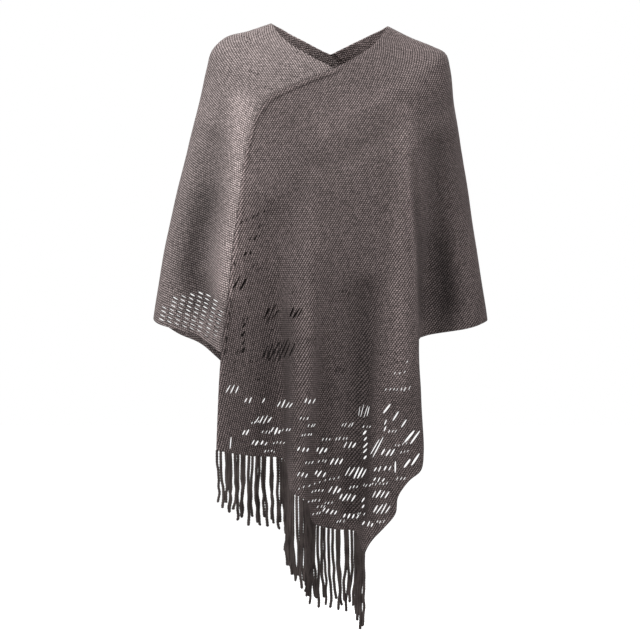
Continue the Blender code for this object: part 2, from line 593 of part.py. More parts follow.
def main():
    for obj in list(bpy.data.objects):
        bpy.data.objects.remove(obj)
    garment = bpy.data.collections.new("knitted_poncho_sweater")
    cutters = bpy.data.collections.new("openwork_cutters")
    for collection in (garment, cutters):
        bpy.context.scene.collection.children.link(collection)
    right = right_panel_chart()
    left = left_panel_chart()
    right_panel = add_panel("right_panel", right, 1, garment)
    left_panel = add_panel("left_panel", left, -1, garment)
    lattice = lattice_slits()
    cut(right_panel, add_cutters("right_panel_openwork", spray_slits() + ladder_slits(), [], cutters))
    cut(left_panel, add_cutters("left_panel_openwork", lattice, lattice, cutters))
    add_fringe(surface(right[0, :, 0], right[0, :, 1]), garment)


main()
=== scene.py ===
"""Knitted poncho sweater, dressed: two knitted panels with openwork, lapped seams and a yarn fringe.

Every panel is a sheet on one surface, worked out from an angle round the body and a way down the
cloth. Lengths in the tables are millimetres; +Z is up and -Y is the front.
"""

import bpy
import numpy as np
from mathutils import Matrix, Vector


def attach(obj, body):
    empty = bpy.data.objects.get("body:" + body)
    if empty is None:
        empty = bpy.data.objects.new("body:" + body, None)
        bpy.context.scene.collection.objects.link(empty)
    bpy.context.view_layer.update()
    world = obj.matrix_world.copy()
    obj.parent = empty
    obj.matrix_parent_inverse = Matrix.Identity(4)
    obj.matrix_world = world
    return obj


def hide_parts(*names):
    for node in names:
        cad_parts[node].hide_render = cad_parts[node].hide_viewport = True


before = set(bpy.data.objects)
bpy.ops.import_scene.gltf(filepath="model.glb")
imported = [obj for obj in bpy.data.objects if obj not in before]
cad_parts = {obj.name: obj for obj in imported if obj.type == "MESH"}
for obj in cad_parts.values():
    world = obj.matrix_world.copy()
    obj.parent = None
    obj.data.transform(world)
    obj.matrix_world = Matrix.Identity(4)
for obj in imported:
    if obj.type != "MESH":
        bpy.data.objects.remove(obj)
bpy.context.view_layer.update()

bl_info = {
    "name": "Knitted poncho sweater",
    "version": (1, 0, 0),
    "blender": (4, 5, 0),
    "location": "View3D > Sidebar > Poncho",
    "description": "Makes the knitted panels, the fringe and the studio round the packed solids",
    "category": "Object",
}

MM = 0.001

# The surface ------------------------------------------------------------------------------------

SQUARENESS = 2.1  # power of the plan's superellipse
STEEPNESS = 6.0  # power of the neckline's steep fall
VEE_SIDE = 10.0  # how far the front V lies to the right of the middle
VEE_FADE = 150.0
SIDEWAYS = 0.3  # how much of a fold's way out goes to the side
BEND = 0.35  # the share of a panel's length over which its end rows straighten
FINE_STEPS = 12
HEIGHT_AT_NO_DOWN = 90.0  # below the waist, a point's height is this less the way down
# Slow waves of the cloth: their height, the degrees and the way down in which each goes on by one
# radian, and where it starts.
WAVES = ((0.5, 7.0, 60.0, 0.0), (0.4, 4.1, -38.0, 1.0), (0.25, np.inf, 17.0, 0.0))
SURFACE_STEP = 0.05
# Newton's method: its rounds, the share of each step that is taken, the longest step in angle and
# down, and the least area that a step is worked out with.
FIND_ROUNDS = 60
FIND_SHARE = 0.7
FIND_REACH = (3.0, 25.0)
FIND_AREA = 0.05

# Rings round the body at a way down: the widths, depths and heights at the sides and at the middle in
# front and behind, the power of the fall between these, and the share of it that is steep.
RING_COLUMNS = ("down", "left", "right", "front", "back",
                "side_left", "side_right", "middle_front", "middle_back", "vee", "steep")
RINGS = {
    "neck edge": (0, 97, 97, 80, 58, 21, 16, -58, -29, 1.0, 0.3),
    "collar": (40, 136, 133, 94, 76, 7, -3, -84, -57, 1.45, 0.2),
    "shoulder": (82, 176, 173, 106, 92, -5, -19, -112, -88, 1.75, 0.08),
    "shoulder bend": (110, 196, 194, 113, 101, -26, -31, -130, -108, 1.9, 0),
    "upper arm": (138, 204, 201, 119, 107, -54, -55, -148, -128, 2.0, 0),
    "chest": (200, 219, 209, 130, 117, -115, -115, -190, -176, 2.0, 0),
    "bust": (278, 238, 221, 139, 122, -191, -191, -240, -232, 2.0, 0),
    "waist": (405, 266, 239, 142, 121, -315, -315, -315, -315, 2.0, 0),
    "sleeve hem": (560, 293, 263, 138, 120, -470, -470, -470, -470, 2.0, 0),
    "front point": (960, 296, 298, 134, 118, -870, -870, -870, -870, 2.0, 0),
}
# Folds at an angle: where the fold lies to the side, how far it stands out, and the ways down between
# which it grows to that.
FOLD_COLUMNS = ("angle", "side", "out", "start", "full")
FOLDS = {
    "back middle": (-180, 0, -8, 300, 640),
    "back left crest": (-158, -104, 12, 260, 620),
    "back left trough": (-138, -192, -14, 260, 600),
    "back left edge": (-118, -256, 6, 260, 600),
    "left side": (-90, -293, 0, 200, 560),
    "left sleeve crest": (-70, -278, 4, 240, 540),
    "left sleeve valley": (-52, -226, -34, 240, 540),
    "wrap crest": (-38.5, -182, 10, 240, 600),
    "wrap flank": (-30, -140, -22, 380, 720),
    "left trough": (-22, -84, -50, 330, 780),
    "left step crest": (-12, -62, 18, 320, 780),
    "middle crest": (-6, -42, 18, 300, 780),
    "middle step trough": (2, -25, -34, 420, 800),
    "middle trough": (11, 18, -38, 400, 800),
    "right step trough": (17, 42, -30, 420, 820),
    "right step crest": (24, 61, 8, 360, 860),
    "right crest": (32, 116, 20, 250, 700),
    "right ridge": (38, 144, 8, 250, 640),
    "right ridge wall": (45, 160, -44, 260, 620),
    "right sleeve valley": (52, 182, -64, 260, 590),
    "right sleeve crest": (66, 230, -10, 260, 560),
    "right side": (90, 263, 0, 200, 560),
    "back right edge": (118, 232, 6, 260, 600),
    "back right trough": (136, 182, -16, 260, 600),
    "back right crest": (156, 104, 12, 260, 620),
    "back middle again": (180, 0, -8, 300, 640),
}
# Seams and free edges as (side, height), and the hems at the sides as (angle, height).
FRONT_SEAM = ((10, -58), (-20, -69), (-48, -80.5), (-77, -93), (-104, -110), (-121, -136), (-132, -172),
              (-140, -210), (-150, -290), (-160, -355), (-170, -445), (-181, -534))
FREE_EDGE = ((-181, -534), (-186, -617), (-188, -694))
BACK_SEAM = ((1, -29), (28, -42), (56, -58), (84, -82), (106, -118), (119, -172), (131, -260), (140, -360),
             (148, -440), (152, -508))
FRINGED_HEM = ((-188, -694), (-130, -704), (-78, -709), (-64, -762), (-44, -774), (-29, -814), (8, -826),
               (40, -829), (58, -867))
POINT_HEM = ((58, -867), (69, -846), (92, -821), (110, -798), (114, -771), (132, -745))
RIGHT_HEM = ((37.5, -725), (39, -698), (40, -648), (40, -600), (39.5, -552), (41, -517), (50, -504),
             (60, -496), (70, -489), (80, -482), (90, -478), (105, -480), (120, -487), (134, -497))
LEFT_HEM = ((-43, -518), (-50, -505), (-60, -494), (-70, -485), (-80, -478), (-90, -473), (-105, -482),
            (-120, -502), (-130, -516), (-138, -540), (-146, -570), (-156, -594))
BACK_HEM = ((-156, -594), (-168, -602), (-184, -600), (-202, -575))

# Soft creases in the cloth in front: height is how far the cloth stands out of the surface along a line of
# (side, height) points, wide is the line's half width, and tone is painted light and shade there: a painted
# highlight on a crest and along a rim, and painted shade in a trough. Where the height is nothing, the
# crease is only painted light or painted shade.
CREASES = {
    "chest crease": (-3.0, 15.0, 0.96, ((202, -121), (118, -150), (60, -191), (-16, -228))),
    "chest crest": (2.5, 20.0, 1.05, ((180, -84), (100, -108), (44, -140), (-30, -186))),
    "chest hollow": (-2.0, 34.0, 0.86, ((-70, -150), (-52, -190), (-50, -260))),
    "left arm trough": (-11.0, 24.0, 0.78, ((-200, -180), (-212, -276), (-224, -393), (-217, -450))),
    "left sleeve shade": (0.0, 25.0, 0.58, ((-204, -270), (-221, -330), (-233, -393), (-208, -452))),
    "left arm crest": (5.0, 20.0, 1.66, ((-146, -120), (-152, -276), (-164, -430))),
    "wrap trough": (-4.0, 18.0, 0.97, ((-92, -300), (-84, -420), (-76, -600))),
    "free edge rim": (0.0, 4.5, 1.55, ((-184, -535), (-187, -617), (-189, -692))),
    "step shade": (0.0, 14.0, 0.66, ((-68, -470), (-66, -700))),
    "step light": (0.0, 9.0, 1.16, ((-40, -420), (-38, -700))),
    "middle crest": (5.0, 15.0, 1.08, ((-24, -240), (-33, -444), (-36, -640))),
    "middle shade": (0.0, 26.0, 0.82, ((24, -440), (28, -700))),
    "hem shade": (0.0, 40.0, 0.80, ((30, -730), (84, -770))),
    "middle trough": (-15.0, 20.0, 0.62, ((62, -430), (56, -540), (54, -680), (44, -800))),
    "ridge crest": (7.0, 18.0, 1.34, ((128, -140), (122, -360), (118, -590))),
    "ridge rim": (0.8, 4.5, 1.30, ((126, -190), (128, -275), (136, -353), (142, -480))),
    "ridge shade": (-1.2, 7.0, 0.70, ((138, -200), (141, -275), (149, -353), (155, -470))),
    "right arm trough": (-14.0, 26.0, 0.62, ((188, -190), (192, -300), (194, -450))),
    "right sleeve shade": (0.0, 24.0, 0.60, ((182, -350), (192, -410), (196, -480))),
    "right arm crease": (-2.0, 10.0, 0.95, ((222, -190), (226, -270), (220, -330))),
}

# Painted light and shade on the wrong side, as a tone: at the neck, where it is painted light, at the hem,
# where it is painted shade, and the heights between which it changes.
RIGHT_INSIDE_PAINTED_SHADING = (2.1, 0.9, -90.0, -330.0)
LEFT_INSIDE_PAINTED_SHADING = (2.1, 0.22, -90.0, -330.0)
# In the left sleeve the painted shade goes only a share of the way to that at the hem: the share, and the
# sides between which it grows to the whole.
SLEEVE_PAINTED_SHADE = (0.35, -235.0, -150.0)

# The panels' meshes -----------------------------------------------------------------------------

# The way in from a rounded edge of the rows beside it.
EDGE_STEPS = np.array([0.0, 0.15, 0.45, 0.9, 1.5, 2.3, 3.4, 4.8, 6.2, 7.4, 8.6, 9.8, 11.4, 14.0])
EDGE_ROUND = 1.5
CELLS_ACROSS = 112
ROWS_FREE = 40
ROWS_SEAM = 104
ROWS_NECK = 48
# The panels' ends and sides, by which the rows beside an edge are spaced.
RIGHT_END = 430.0
RIGHT_SIDE = 720.0
LEFT_END = 560.0
LEFT_SIDE = 800.0
FREE_LONG = 160.0
NECK_LONG = 250.0
BACK_SEAM_LONG = 560.0
NECK_ANGLES = np.array([30, 60, 90, 120, 150])
NECK_LAP = 0.2  # what is left of the overlap at the neck's edge
# The flat layout: its rows and columns, its rounds, and the least weight of a triangle's side.
FLAT_ROWS = 46
FLAT_CELLS = 34
FLAT_ROUNDS = 120
COT_FLOOR = 0.05
UNDERLAP = 6.0  # how far a panel runs on under the other at a seam
UNDER_SEEN = 5.0  # how far past the other panel's edge its line still counts
# How far the part below another panel lies in, where it starts to come up, and over what way.
UNDER_DROP = (1.5, 7.0, 8.0)
SEAM_MARGIN = 3.0  # how far the seam's line goes on past the seam
FAR_OFF = 500.0
FRONT_FADE = 20.0  # how deep the front's creases fade towards the sides
LAP_WIDE = (6.0, 12.0)  # from the edge, where the lapped strip starts and ends to come down
LAP_GROOVE = (0.9, 8.6, 1.5)  # a stitched groove's depth, its way in and its half width
LAP_GROOVE_LONG = 250.0  # how far the groove is drawn in from the neck's end
# Along the edge: how early the strip starts to rise, its rise, its fall, and the groove's.
LAP_FADES = (20.0, 40.0, 30.0, 60.0)
# Where the knit's wales run: a place in front, and how they lean there.
RIGHT_WALES = ((0.0, -260.0), 60.0)
LEFT_WALES = ((-215.0, -280.0), -27.0)

# The openwork -----------------------------------------------------------------------------------

# Sprays of slits: where a spray's middle is, its slits' number, how far apart they are over and along
# their lean, the size and lean of the longest, and by what share the outermost are shorter.
SPRAY_COLUMNS = ("side", "height", "count", "pitch", "shift", "long", "wide", "lean", "taper")
SPRAYS = {
    "edge eyelets, top row": (-128, -306, 5, 6.6, 8.2, 9, 3.4, 64, 0.2),
    "edge eyelets, second row": (-124, -340, 3, 6.0, 6.2, 12, 3.4, 64, 0.2),
    "edge eyelets, third row": (-140, -368, 3, 6.0, 6.0, 9, 3.2, 66, 0.2),
    "edge eyelets, large pair": (-149, -416, 2, 10.4, 3.0, 23, 5.4, 66, 0.0),
    "edge column, single": (-134, -446, 1, 0, 0, 12, 4.0, 62, 0.0),
    "edge column": (-144, -507, 4, 7.0, -11.5, 12, 4.4, 58, 0.1),
    "edge column, foot": (-158, -560, 1, 0, 0, 10, 3.4, 62, 0.0),
    "edge slits, lower": (-162, -592, 3, 6.4, 3.0, 20, 3.2, 62, 0.3),
    "edge slit by the fringe": (-165, -681, 1, 0, 0, 18, 3.2, 86, 0.0),
    "bud, left": (-97, -466, 3, 6.4, 3.0, 38, 4.0, 60, 0.35),
    "bud, middle": (-56, -465, 3, 6.4, 3.0, 27, 4.0, 62, 0.35),
    "large leaf": (-85, -529, 7, 6.3, 3.6, 48, 4.3, 63, 0.45),
    "left sprig, top": (-136, -611, 2, 6.3, 3.0, 12, 3.2, 62, 0.3),
    "left sprig, dot": (-110, -612, 1, 0, 0, 9, 3.2, 62, 0.0),
    "left sprig, right": (-74, -618, 4, 6.3, 2.5, 17, 3.2, 60, 0.3),
    "left sprig, middle": (-110, -643, 4, 6.3, 3.0, 16, 3.2, 60, 0.3),
    "left sprig, lower": (-90, -662, 3, 6.3, 2.0, 12, 3.6, 62, 0.3),
    "left sprig, foot": (-117, -682, 4, 6.6, 3.0, 10, 3.4, 60, 0.2),
    "left sprig, edge": (-140, -664, 2, 6.4, 3.0, 11, 3.2, 60, 0.2),
    "high leaf": (57, -629, 4, 4.8, 1.0, 25, 2.2, 78, 0.3),
    "stack": (59, -685, 5, 6.4, -7.8, 10, 4.6, 52, 0.1),
    "twin slits": (78, -688, 2, 6.6, 1.0, 34, 3.4, 64, 0.0),
    "petals, top": (109, -636, 3, 18.0, -3.0, 19, 4.0, 58, 0.1),
    "petals, left": (93, -653, 2, 4.6, -9.5, 10, 3.2, 62, 0.0),
    "petals, right": (137, -672, 2, 9.0, 4.0, 27, 4.6, 56, 0.0),
    "petals, edge": (136, -712, 2, 8.2, 12.0, 21, 4.6, 58, 0.0),
    "petals, inner": (97, -697, 3, 6.8, 3.0, 17, 3.6, 62, 0.2),
    "petals, lower": (88, -724, 4, 6.6, 5.0, 11, 3.4, 60, 0.2),
    "petals, third row": (82, -742, 3, 6.4, 3.0, 9, 3.2, 60, 0.1),
    "petals, foot": (109, -722, 1, 0, 0, 17, 3.8, 84, 0.0),
    "bell, left": (-13, -694, 3, 6.4, 3.0, 13, 3.2, 62, 0.3),
    "bell, middle": (12, -713, 3, 6.6, 3.0, 14, 3.6, 60, 0.2),
    "bell, right": (34, -685, 3, 6.4, 3.0, 15, 3.4, 60, 0.3),
    "centre leaf": (44, -731, 5, 6.3, 3.0, 26, 3.4, 60, 0.4),
    "low leaf, left": (9, -761, 3, 6.4, 3.0, 16, 3.4, 60, 0.3),
    "low leaf, middle": (29, -773, 4, 6.3, 3.0, 18, 3.4, 60, 0.3),
    "low leaf, right": (85, -767, 4, 6.3, 3.0, 17, 3.4, 60, 0.3),
    "low leaf, point": (86, -791, 4, 6.3, 3.0, 22, 3.4, 60, 0.4),
    "foot dots": (36, -804, 4, 6.5, 2.5, 9, 3.4, 60, 0.1),
    "foot column": (56, -782, 2, 5.6, -9.0, 8, 3.2, 56, 0.0),
    "foot dots, left": (0, -796, 4, 6.5, 2.0, 9, 3.4, 60, 0.1),
    "ridge dots": (-45, -734, 3, 6.4, 2.0, 9, 3.2, 60, 0.1),
    "ridge sprig": (-44, -692, 3, 6.4, 2.5, 10, 3.2, 60, 0.2),
    "ridge sprig, high": (-33, -612, 3, 6.3, 3.0, 10, 3.2, 60, 0.2),
    "middle sprig": (-16, -733, 3, 6.4, 2.5, 11, 3.2, 60, 0.2),
    "point dots": (64, -816, 3, 6.5, 2.5, 9, 3.2, 60, 0.1),
}
# Finer slits, besides those above.
SMALL_SPRAYS = {
    "edge eyelets, fourth row": (-116, -322, 3, 6.4, 8.0, 8, 2.2, 64, 0.2),
    "edge eyelets, fifth row": (-128, -388, 3, 5.6, 5.0, 8, 2.4, 64, 0.2),
    "column, first": (-140, -476, 2, 5.4, 3.0, 12, 2.6, 60, 0.2),
    "column, second": (-150, -528, 2, 5.4, 3.0, 12, 2.6, 60, 0.2),
    "column, third": (-158, -546, 3, 5.0, 3.0, 8, 2.2, 60, 0.2),
    "left eyelets": (-112, -392, 3, 5.0, 4.0, 8, 1.8, 62, 0.2),
    "left eyelets, lower": (-98, -412, 3, 5.0, 4.0, 7, 1.8, 62, 0.2),
    "leaf stalk": (-98, -497, 1, 0, 0, 15, 2.6, 50, 0.0),
    "faint leaf": (-34, -512, 4, 5.0, 3.0, 20, 1.8, 58, 0.3),
    "faint buds": (-52, -430, 4, 5.0, 4.0, 6, 1.8, 60, 0.0),
    "middle eyelets": (24, -430, 4, 5.0, 1.9, 6, 1.8, 60, 0.0),
    "middle leaf": (20, -560, 4, 5.0, 3.0, 16, 1.8, 60, 0.3),
    "seam side, first": (-118, -575, 3, 5.0, 3.0, 8, 1.8, 62, 0.2),
    "seam side, second": (-128, -545, 3, 5.0, 3.0, 8, 1.8, 62, 0.2),
    "right rows, first": (106, -532, 6, 6.4, 5.0, 4.5, 1.8, 58, 0.0),
    "right rows, second": (108, -548, 6, 6.4, 5.0, 4.5, 1.8, 58, 0.0),
    "right rows, third": (104, -566, 6, 6.4, 5.0, 4.5, 1.8, 58, 0.0),
    "right rows, fourth": (122, -592, 4, 5.4, 4.0, 8, 1.9, 60, 0.2),
    "right rows, fifth": (100, -592, 3, 5.4, 4.0, 6, 1.9, 60, 0.2),
    "ridge, first": (-30, -652, 3, 4.4, 3.0, 7, 1.8, 60, 0.0),
    "ridge, second": (-38, -668, 4, 4.4, 3.0, 5, 1.8, 60, 0.0),
    "inner sprig": (30, -652, 4, 4.6, 3.0, 9, 1.8, 60, 0.2),
    "inner sprig, low": (62, -655, 3, 4.6, 3.0, 5, 1.8, 60, 0.0),
    "wing, first": (118, -684, 4, 4.8, 4.0, 5, 1.8, 60, 0.0),
    "wing, second": (124, -696, 3, 4.8, 4.0, 5, 1.8, 60, 0.0),
    "wing, third": (118, -740, 3, 4.8, 3.0, 6, 1.8, 60, 0.0),
    "fern, first": (-20, -762, 4, 4.6, 3.0, 6, 1.8, 60, 0.0),
    "fern, second": (-26, -778, 4, 4.6, 3.0, 5, 1.8, 60, 0.0),
    "fern, third": (-14, -788, 3, 4.6, 3.0, 6, 1.8, 60, 0.0),
    "fern, fourth": (-24, -800, 4, 4.6, 3.0, 5, 1.8, 60, 0.0),
    "bell stalk": (-12, -712, 3, 4.6, 3.0, 6, 1.8, 60, 0.0),
    "bell stalk, low": (-34, -714, 3, 4.6, 3.0, 6, 1.8, 60, 0.0),
    "leaf stalk, low": (62, -752, 3, 4.6, 3.0, 6, 1.8, 60, 0.0),
    "leaf stalk, left": (40, -756, 3, 4.6, 3.0, 6, 1.8, 60, 0.0),
    "left foot": (-84, -682, 4, 4.6, 3.0, 5, 1.8, 60, 0.0),
    "left foot, low": (-100, -696, 4, 4.6, 2.4, 4.5, 1.8, 60, 0.0),
    "wing, fourth": (83, -749, 5, 4.8, 3.0, 5, 1.8, 60, 0.0),
    "wing, fifth": (104, -662, 3, 4.8, 3.0, 6, 1.8, 60, 0.0),
    "fern row": (-34, -752, 5, 6.2, 6.6, 4.5, 1.8, 60, 0.0),
    "fern row, right": (4, -742, 4, 6.2, 5.0, 4.5, 1.8, 60, 0.0),
    "inner dots": (20, -674, 4, 4.8, 3.0, 6, 1.8, 60, 0.0),
    "inner dots, low": (-6, -676, 3, 4.8, 3.0, 5, 1.8, 60, 0.0),
    "flower, top": (-2, -782, 3, 4.8, 3.0, 5, 1.8, 62, 0.0),
    "flower, foot": (18, -812, 3, 4.8, 3.0, 5, 1.8, 62, 0.0),
    "left fern": (-124, -648, 3, 4.8, 4.0, 5, 1.8, 60, 0.0),
    "left fern, low": (-106, -664, 3, 4.8, 3.0, 6, 1.8, 60, 0.0),
    "left fern, right": (-72, -660, 3, 4.8, 3.0, 6, 1.8, 60, 0.0),
    "ridge dots, low": (-42, -640, 3, 4.8, 3.0, 5, 1.8, 60, 0.0),
    "point eyelets": (84, -812, 3, 4.6, 3.0, 6, 1.8, 60, 0.0),
    "point eyelets, left": (52, -800, 3, 4.6, 3.0, 5, 1.8, 60, 0.0),
}
# Fine slits above the sleeve's lattice.
SLEEVE_DOTS = {
    "above the lattice": (-262, -424, 5, -1.9, 8.0, 4, 1.6, -27, 0.0),
    "above the lattice, second": (-262, -416, 4, -1.9, 8.0, 4, 1.6, -27, 0.0),
}
# Fine slits on the left shoulder.
SHOULDER_DOTS = {
    "outer": (-141, -3, 4, 4.2, 3.0, 4.5, 1.8, 32, 0.0),
    "outer, low": (-138, -12, 3, 4.2, 3.0, 4.5, 1.8, 32, 0.0),
    "top": (-112, 0, 4, 4.4, 3.0, 5, 1.8, 38, 0.0),
    "top, low": (-116, -17, 3, 4.4, 3.0, 5, 1.8, 38, 0.0),
    "neck": (-51, -33, 3, 4.2, 2.0, 4, 1.8, 40, 0.0),
    "middle": (-76, -52, 4, 4.2, 3.0, 4.5, 1.8, 40, 0.0),
    "neck, low": (-36, -56, 3, 4.2, 2.0, 4, 1.8, 40, 0.0),
    "seam": (-56, -72, 4, 4.2, 3.0, 5, 1.8, 40, 0.0),
    "seam, low": (-104, -90, 4, 4.4, 3.0, 5, 1.8, 42, 0.0),
    "arm": (-128, -64, 4, 4.4, 3.0, 5, 1.8, 40, 0.0),
}
# The ladder: a slit's size, the step to the next, how far inside the edge it runs, and its heights.
LADDER_SLIT = (12.0, 3.2)
LADDER_STEP = 21.0
LADDER_INSIDE = 6.0
LADDER_RANGE = (-384.0, -545.0)
# The lattice: how many slits each stack has, from the side in, and how the stacks stand.
LATTICE_STACKS = (4, 7, 8, 9, 10, 10, 10, 8)
LATTICE_SIDE = -282.0
LATTICE_ABOVE_HEM = 9.0
LATTICE_UNEVEN = 0.3  # the share of the slits' change that the lattice has
LATTICE_STACK_STEP = 12.6
LATTICE_SLIT_STEP = (1.7, 6.6)
LATTICE_SLIT = (11.2, 3.7, -27.0)
SLIT_POINTS = 12
SLIT_FULLNESS = 0.95  # power of the outline's sine: under 1 the slit is fuller than an oval
# How wide a slit stands open: a share of its size, less a margin, or at least the last number.
SLIT_DRAWN = (0.74, 0.45, 1.05)
SLIT_CHANGE = (0.9, 0.18, 0.30, 6.0)  # how far place, length, width and lean change from slit to slit
CUTTER_DEPTH = 110.0
SHOULDER_CUTTER_DEPTH = 24.0
CRISP_ANGLE = 50.0  # edges that turn by more than this stay sharp

# The fringe -------------------------------------------------------------------------------------

STRANDS = 68
# The strands' lengths at shares of the fringed end, and a sine's size and steps, by which they change
# from strand to strand. A root lies a quarter of a step on from its strand's place.
STRAND_PLACES = (0.0, 0.12, 0.35, 0.52, 0.62, 1.0)
STRAND_LENGTHS = (86, 108, 115, 145, 129, 125)
LENGTH_CHANGE = (0.08, 2.3)
ROOT_PLACE = 0.25
SWAY = (3.0, 1.5)  # how far a strand's foot sways to the side and to the front
SWAY_WAVES = ((0.35, 2.2), (0.5, 3.0))  # for each, how the sway goes on by strand and by way down
CURLS = ((2.6, 0.8), (1.3, 2.2), (0.6, 4.6))  # size and waves along a strand of each curl
CURL_CHANGE = (0.4, 1.2)
CURL_DEPTH = 0.6  # a curl's size to the front as a share of that to the side
STRAND_SPREAD = 1.3  # how unevenly the strands stand beside one another
STRAND_TOP = 2.0  # how far a strand's root reaches into the cloth's edge
STRAND_RINGS = 84
STRAND_SIDES = 8
STRAND_ENDS = (0.02, 0.012)  # shares of a strand in which it rounds off at its root and at its foot
LEAST_END = 0.02
THICKNESS_CHANGE = (0.9, 1.08)
PLY_DEPTH = 0.17  # how much the radius changes round a strand, as a share
PLY_TURN = 9.0  # the way down in which the plies go round once
YARN_ROUND = 0.012  # the way round a strand in its UV map, in metres
SEED = 4

CLOTH_UV = "cloth"
SEAM_UV = "seam"
PAINTED_SHADING_UV = "tone"
# Lines at a seam: how far in from its edge and half how wide in metres, how dark, or light where it is
# below nothing, and the two ways from the neck's end, in metres, between which it fades. The first is a
# painted shadow along the lap's edge, the second a painted highlight on the lapped strip, and the third the
# stitched line near the neck, partly dark thread and partly painted shade in its groove.
SEAM_LINES = ((0.0000, 0.0017, 0.75, 0.50, 0.62), (0.0050, 0.0038, -0.42, 0.36, 0.62),
              (0.0090, 0.0016, 0.45, 0.18, 0.30))
SEAM_DOT = 0.0042  # from one dark dot of a seam line to the next
SEAM_DOT_SHADES = (-0.6, 0.8, 0.35, 1.0)  # the sine's range, and what a dot's darkness goes between
SEAM_CORE = 0.35  # the share of a line's half width that is dark throughout

# The finishes. A noise's scale is by the metre.
WANDER = (70.0, 1.5)  # the scale and size of the yarn's wandering
WALES_SHARE = 0.45  # of a stitch's height, which the loops make up to one
FIBRES = (900.0, 1.2)  # the scale and size of the fibres
STITCH_COLOUR = (-0.58, 0.62)  # heights between which the colour goes from the gaps' painted shade to the stitches'
MOTTLE = (230.0, 0.25, 0.75, 0.62, 1.36)  # the noise's scale and range, and the tones it goes between
WEAR = (9.0, 0.3, 0.7, 0.93, 1.07)  # the same for the slow change over the garment
FOOT_LEVELS = (-0.75, -0.12)  # metres between which the tone goes from the foot's to full
RIGHT_FOOT_TONE = 0.86
LEFT_FOOT_TONE = 0.95
KNIT_RELIEF = (0.6, 0.0012)  # strength and height
YARN_LEAN = 0.6  # how the fibres lean with the ply
YARN_STRETCH = 0.22
YARN_FIBRES = 2200.0
YARN_SHADE = (40.0, 0.6)  # the scale and size of the slow change along a strand
YARN_COLOUR = (0.45, 1.15)
YARN_RELIEF = (0.6, 0.0008)

# The studio -------------------------------------------------------------------------------------

FLOOR_REACH = 30.0
FLOOR_LEVEL = -1.10
FLOOR_GLOW = 0.94
BACKDROP_LIGHT = 0.2  # the light that the white backdrop gives, as a share of how bright it looks
LAMP_SIZE = 1.6
LAMP_AIM = (0, 0, -0.4)
LAMPS = {
    "left top": ((-1.90, -0.2, 3.68), 155.0),
    "left": ((-2.88, -3.43, 0.0), 84.0),
    "right": ((3.50, -2.75, 0.0), 52.0),
    "right top": ((1.85, -0.43, 3.68), 60.0),
    "front top": ((0.0, -2.60, 3.00), 26.0),
    "front": ((0.0, -4.50, 0.25), 34.0),
    "behind": ((1.0, 4.0, 1.6), 90.0),
}
CAMERA_AWAY = 12.0
SENSOR_WIDE = 36.0
# The frame: how many pixels it is wide and tall, how much cloth one of them shows, and where in it the
# origin lies, from the left and from the top.
FRAME_PIXELS = 640
PIXEL = 1.68
ORIGIN_PIXEL = (329.5, 36)


def columns(table, names):
    """A table as one array for each column."""
    return dict(zip(names, np.array(list(table.values()), float).T))


RING = columns(RINGS, RING_COLUMNS)
FOLD = columns(FOLDS, FOLD_COLUMNS)


def smoothstep(share):
    """From 0 to 1 with level ends: share squared times three less twice the share."""
    share = np.clip(share, 0, 1)
    return share * share * (3 - 2 * share)


def hermite(share, low, high, low_slope, high_slope):
    """The cubic from low to high whose slopes at its ends are given for the whole interval."""
    square, cube = share**2, share**3
    return (
        low * (2 * cube - 3 * square + 1)
        + high * (3 * square - 2 * cube)
        + low_slope * (cube - 2 * square + share)
        + high_slope * (cube - square)
    )


def spline(at, knots, values):
    """A smooth curve through the values at the knots, by a cubic between each two of them. Values
    with more than one axis are rows, one for each knot."""
    knots, values = np.asarray(knots, float), np.asarray(values)
    slopes = np.gradient(values, knots, axis=0)
    i = np.clip(np.searchsorted(knots, at, side="right") - 1, 0, len(knots) - 2)
    spread = (...,) + (None,) * (values.ndim - 1)
    gap = (knots[i + 1] - knots[i])[spread]
    share = (at - knots[i])[spread] / gap
    return hermite(share, values[i], values[i + 1], slopes[i] * gap, slopes[i + 1] * gap)


def section(angle, down):
    """The cloth with no folds. In plan it is a superellipse, with sine and cosine of the angle times
    the ring's width and depth. Its height goes from the side's to the middle's as a power of the way
    from the middle: straight lines to a V at the neck, and rounded below. A share of the front's fall
    goes with a high power instead, where the neckline drops steeply off the shoulders."""
    ring = {name: spline(down, RING["down"], RING[name]) for name in RING_COLUMNS[1:]}
    turn = np.radians(angle)
    sine, cosine = np.sin(turn), np.cos(turn)
    reach = (np.abs(sine) ** SQUARENESS + np.abs(cosine) ** SQUARENESS) ** (-1 / SQUARENESS)
    across = sine * reach
    width = np.where(sine < 0, ring["left"], ring["right"])
    depth = np.where(cosine > 0, ring["front"], ring["back"])
    shift = np.where(cosine > 0, VEE_SIDE, 0) / width * (1 - smoothstep(down / VEE_FADE))
    from_vee = across - shift
    way = np.clip(np.abs(from_vee) / (1 - np.sign(from_vee) * shift), 0, 1)
    steep = np.where(cosine > 0, ring["steep"], 0)
    fall = (1 - steep) * way ** ring["vee"] + steep * way**STEEPNESS
    side = np.where(sine < 0, ring["side_left"], ring["side_right"])
    middle = np.where(cosine > 0, ring["middle_front"], ring["middle_back"])
    return np.stack([width * across, -depth * cosine * reach, middle + (side - middle) * fall], axis=-1)


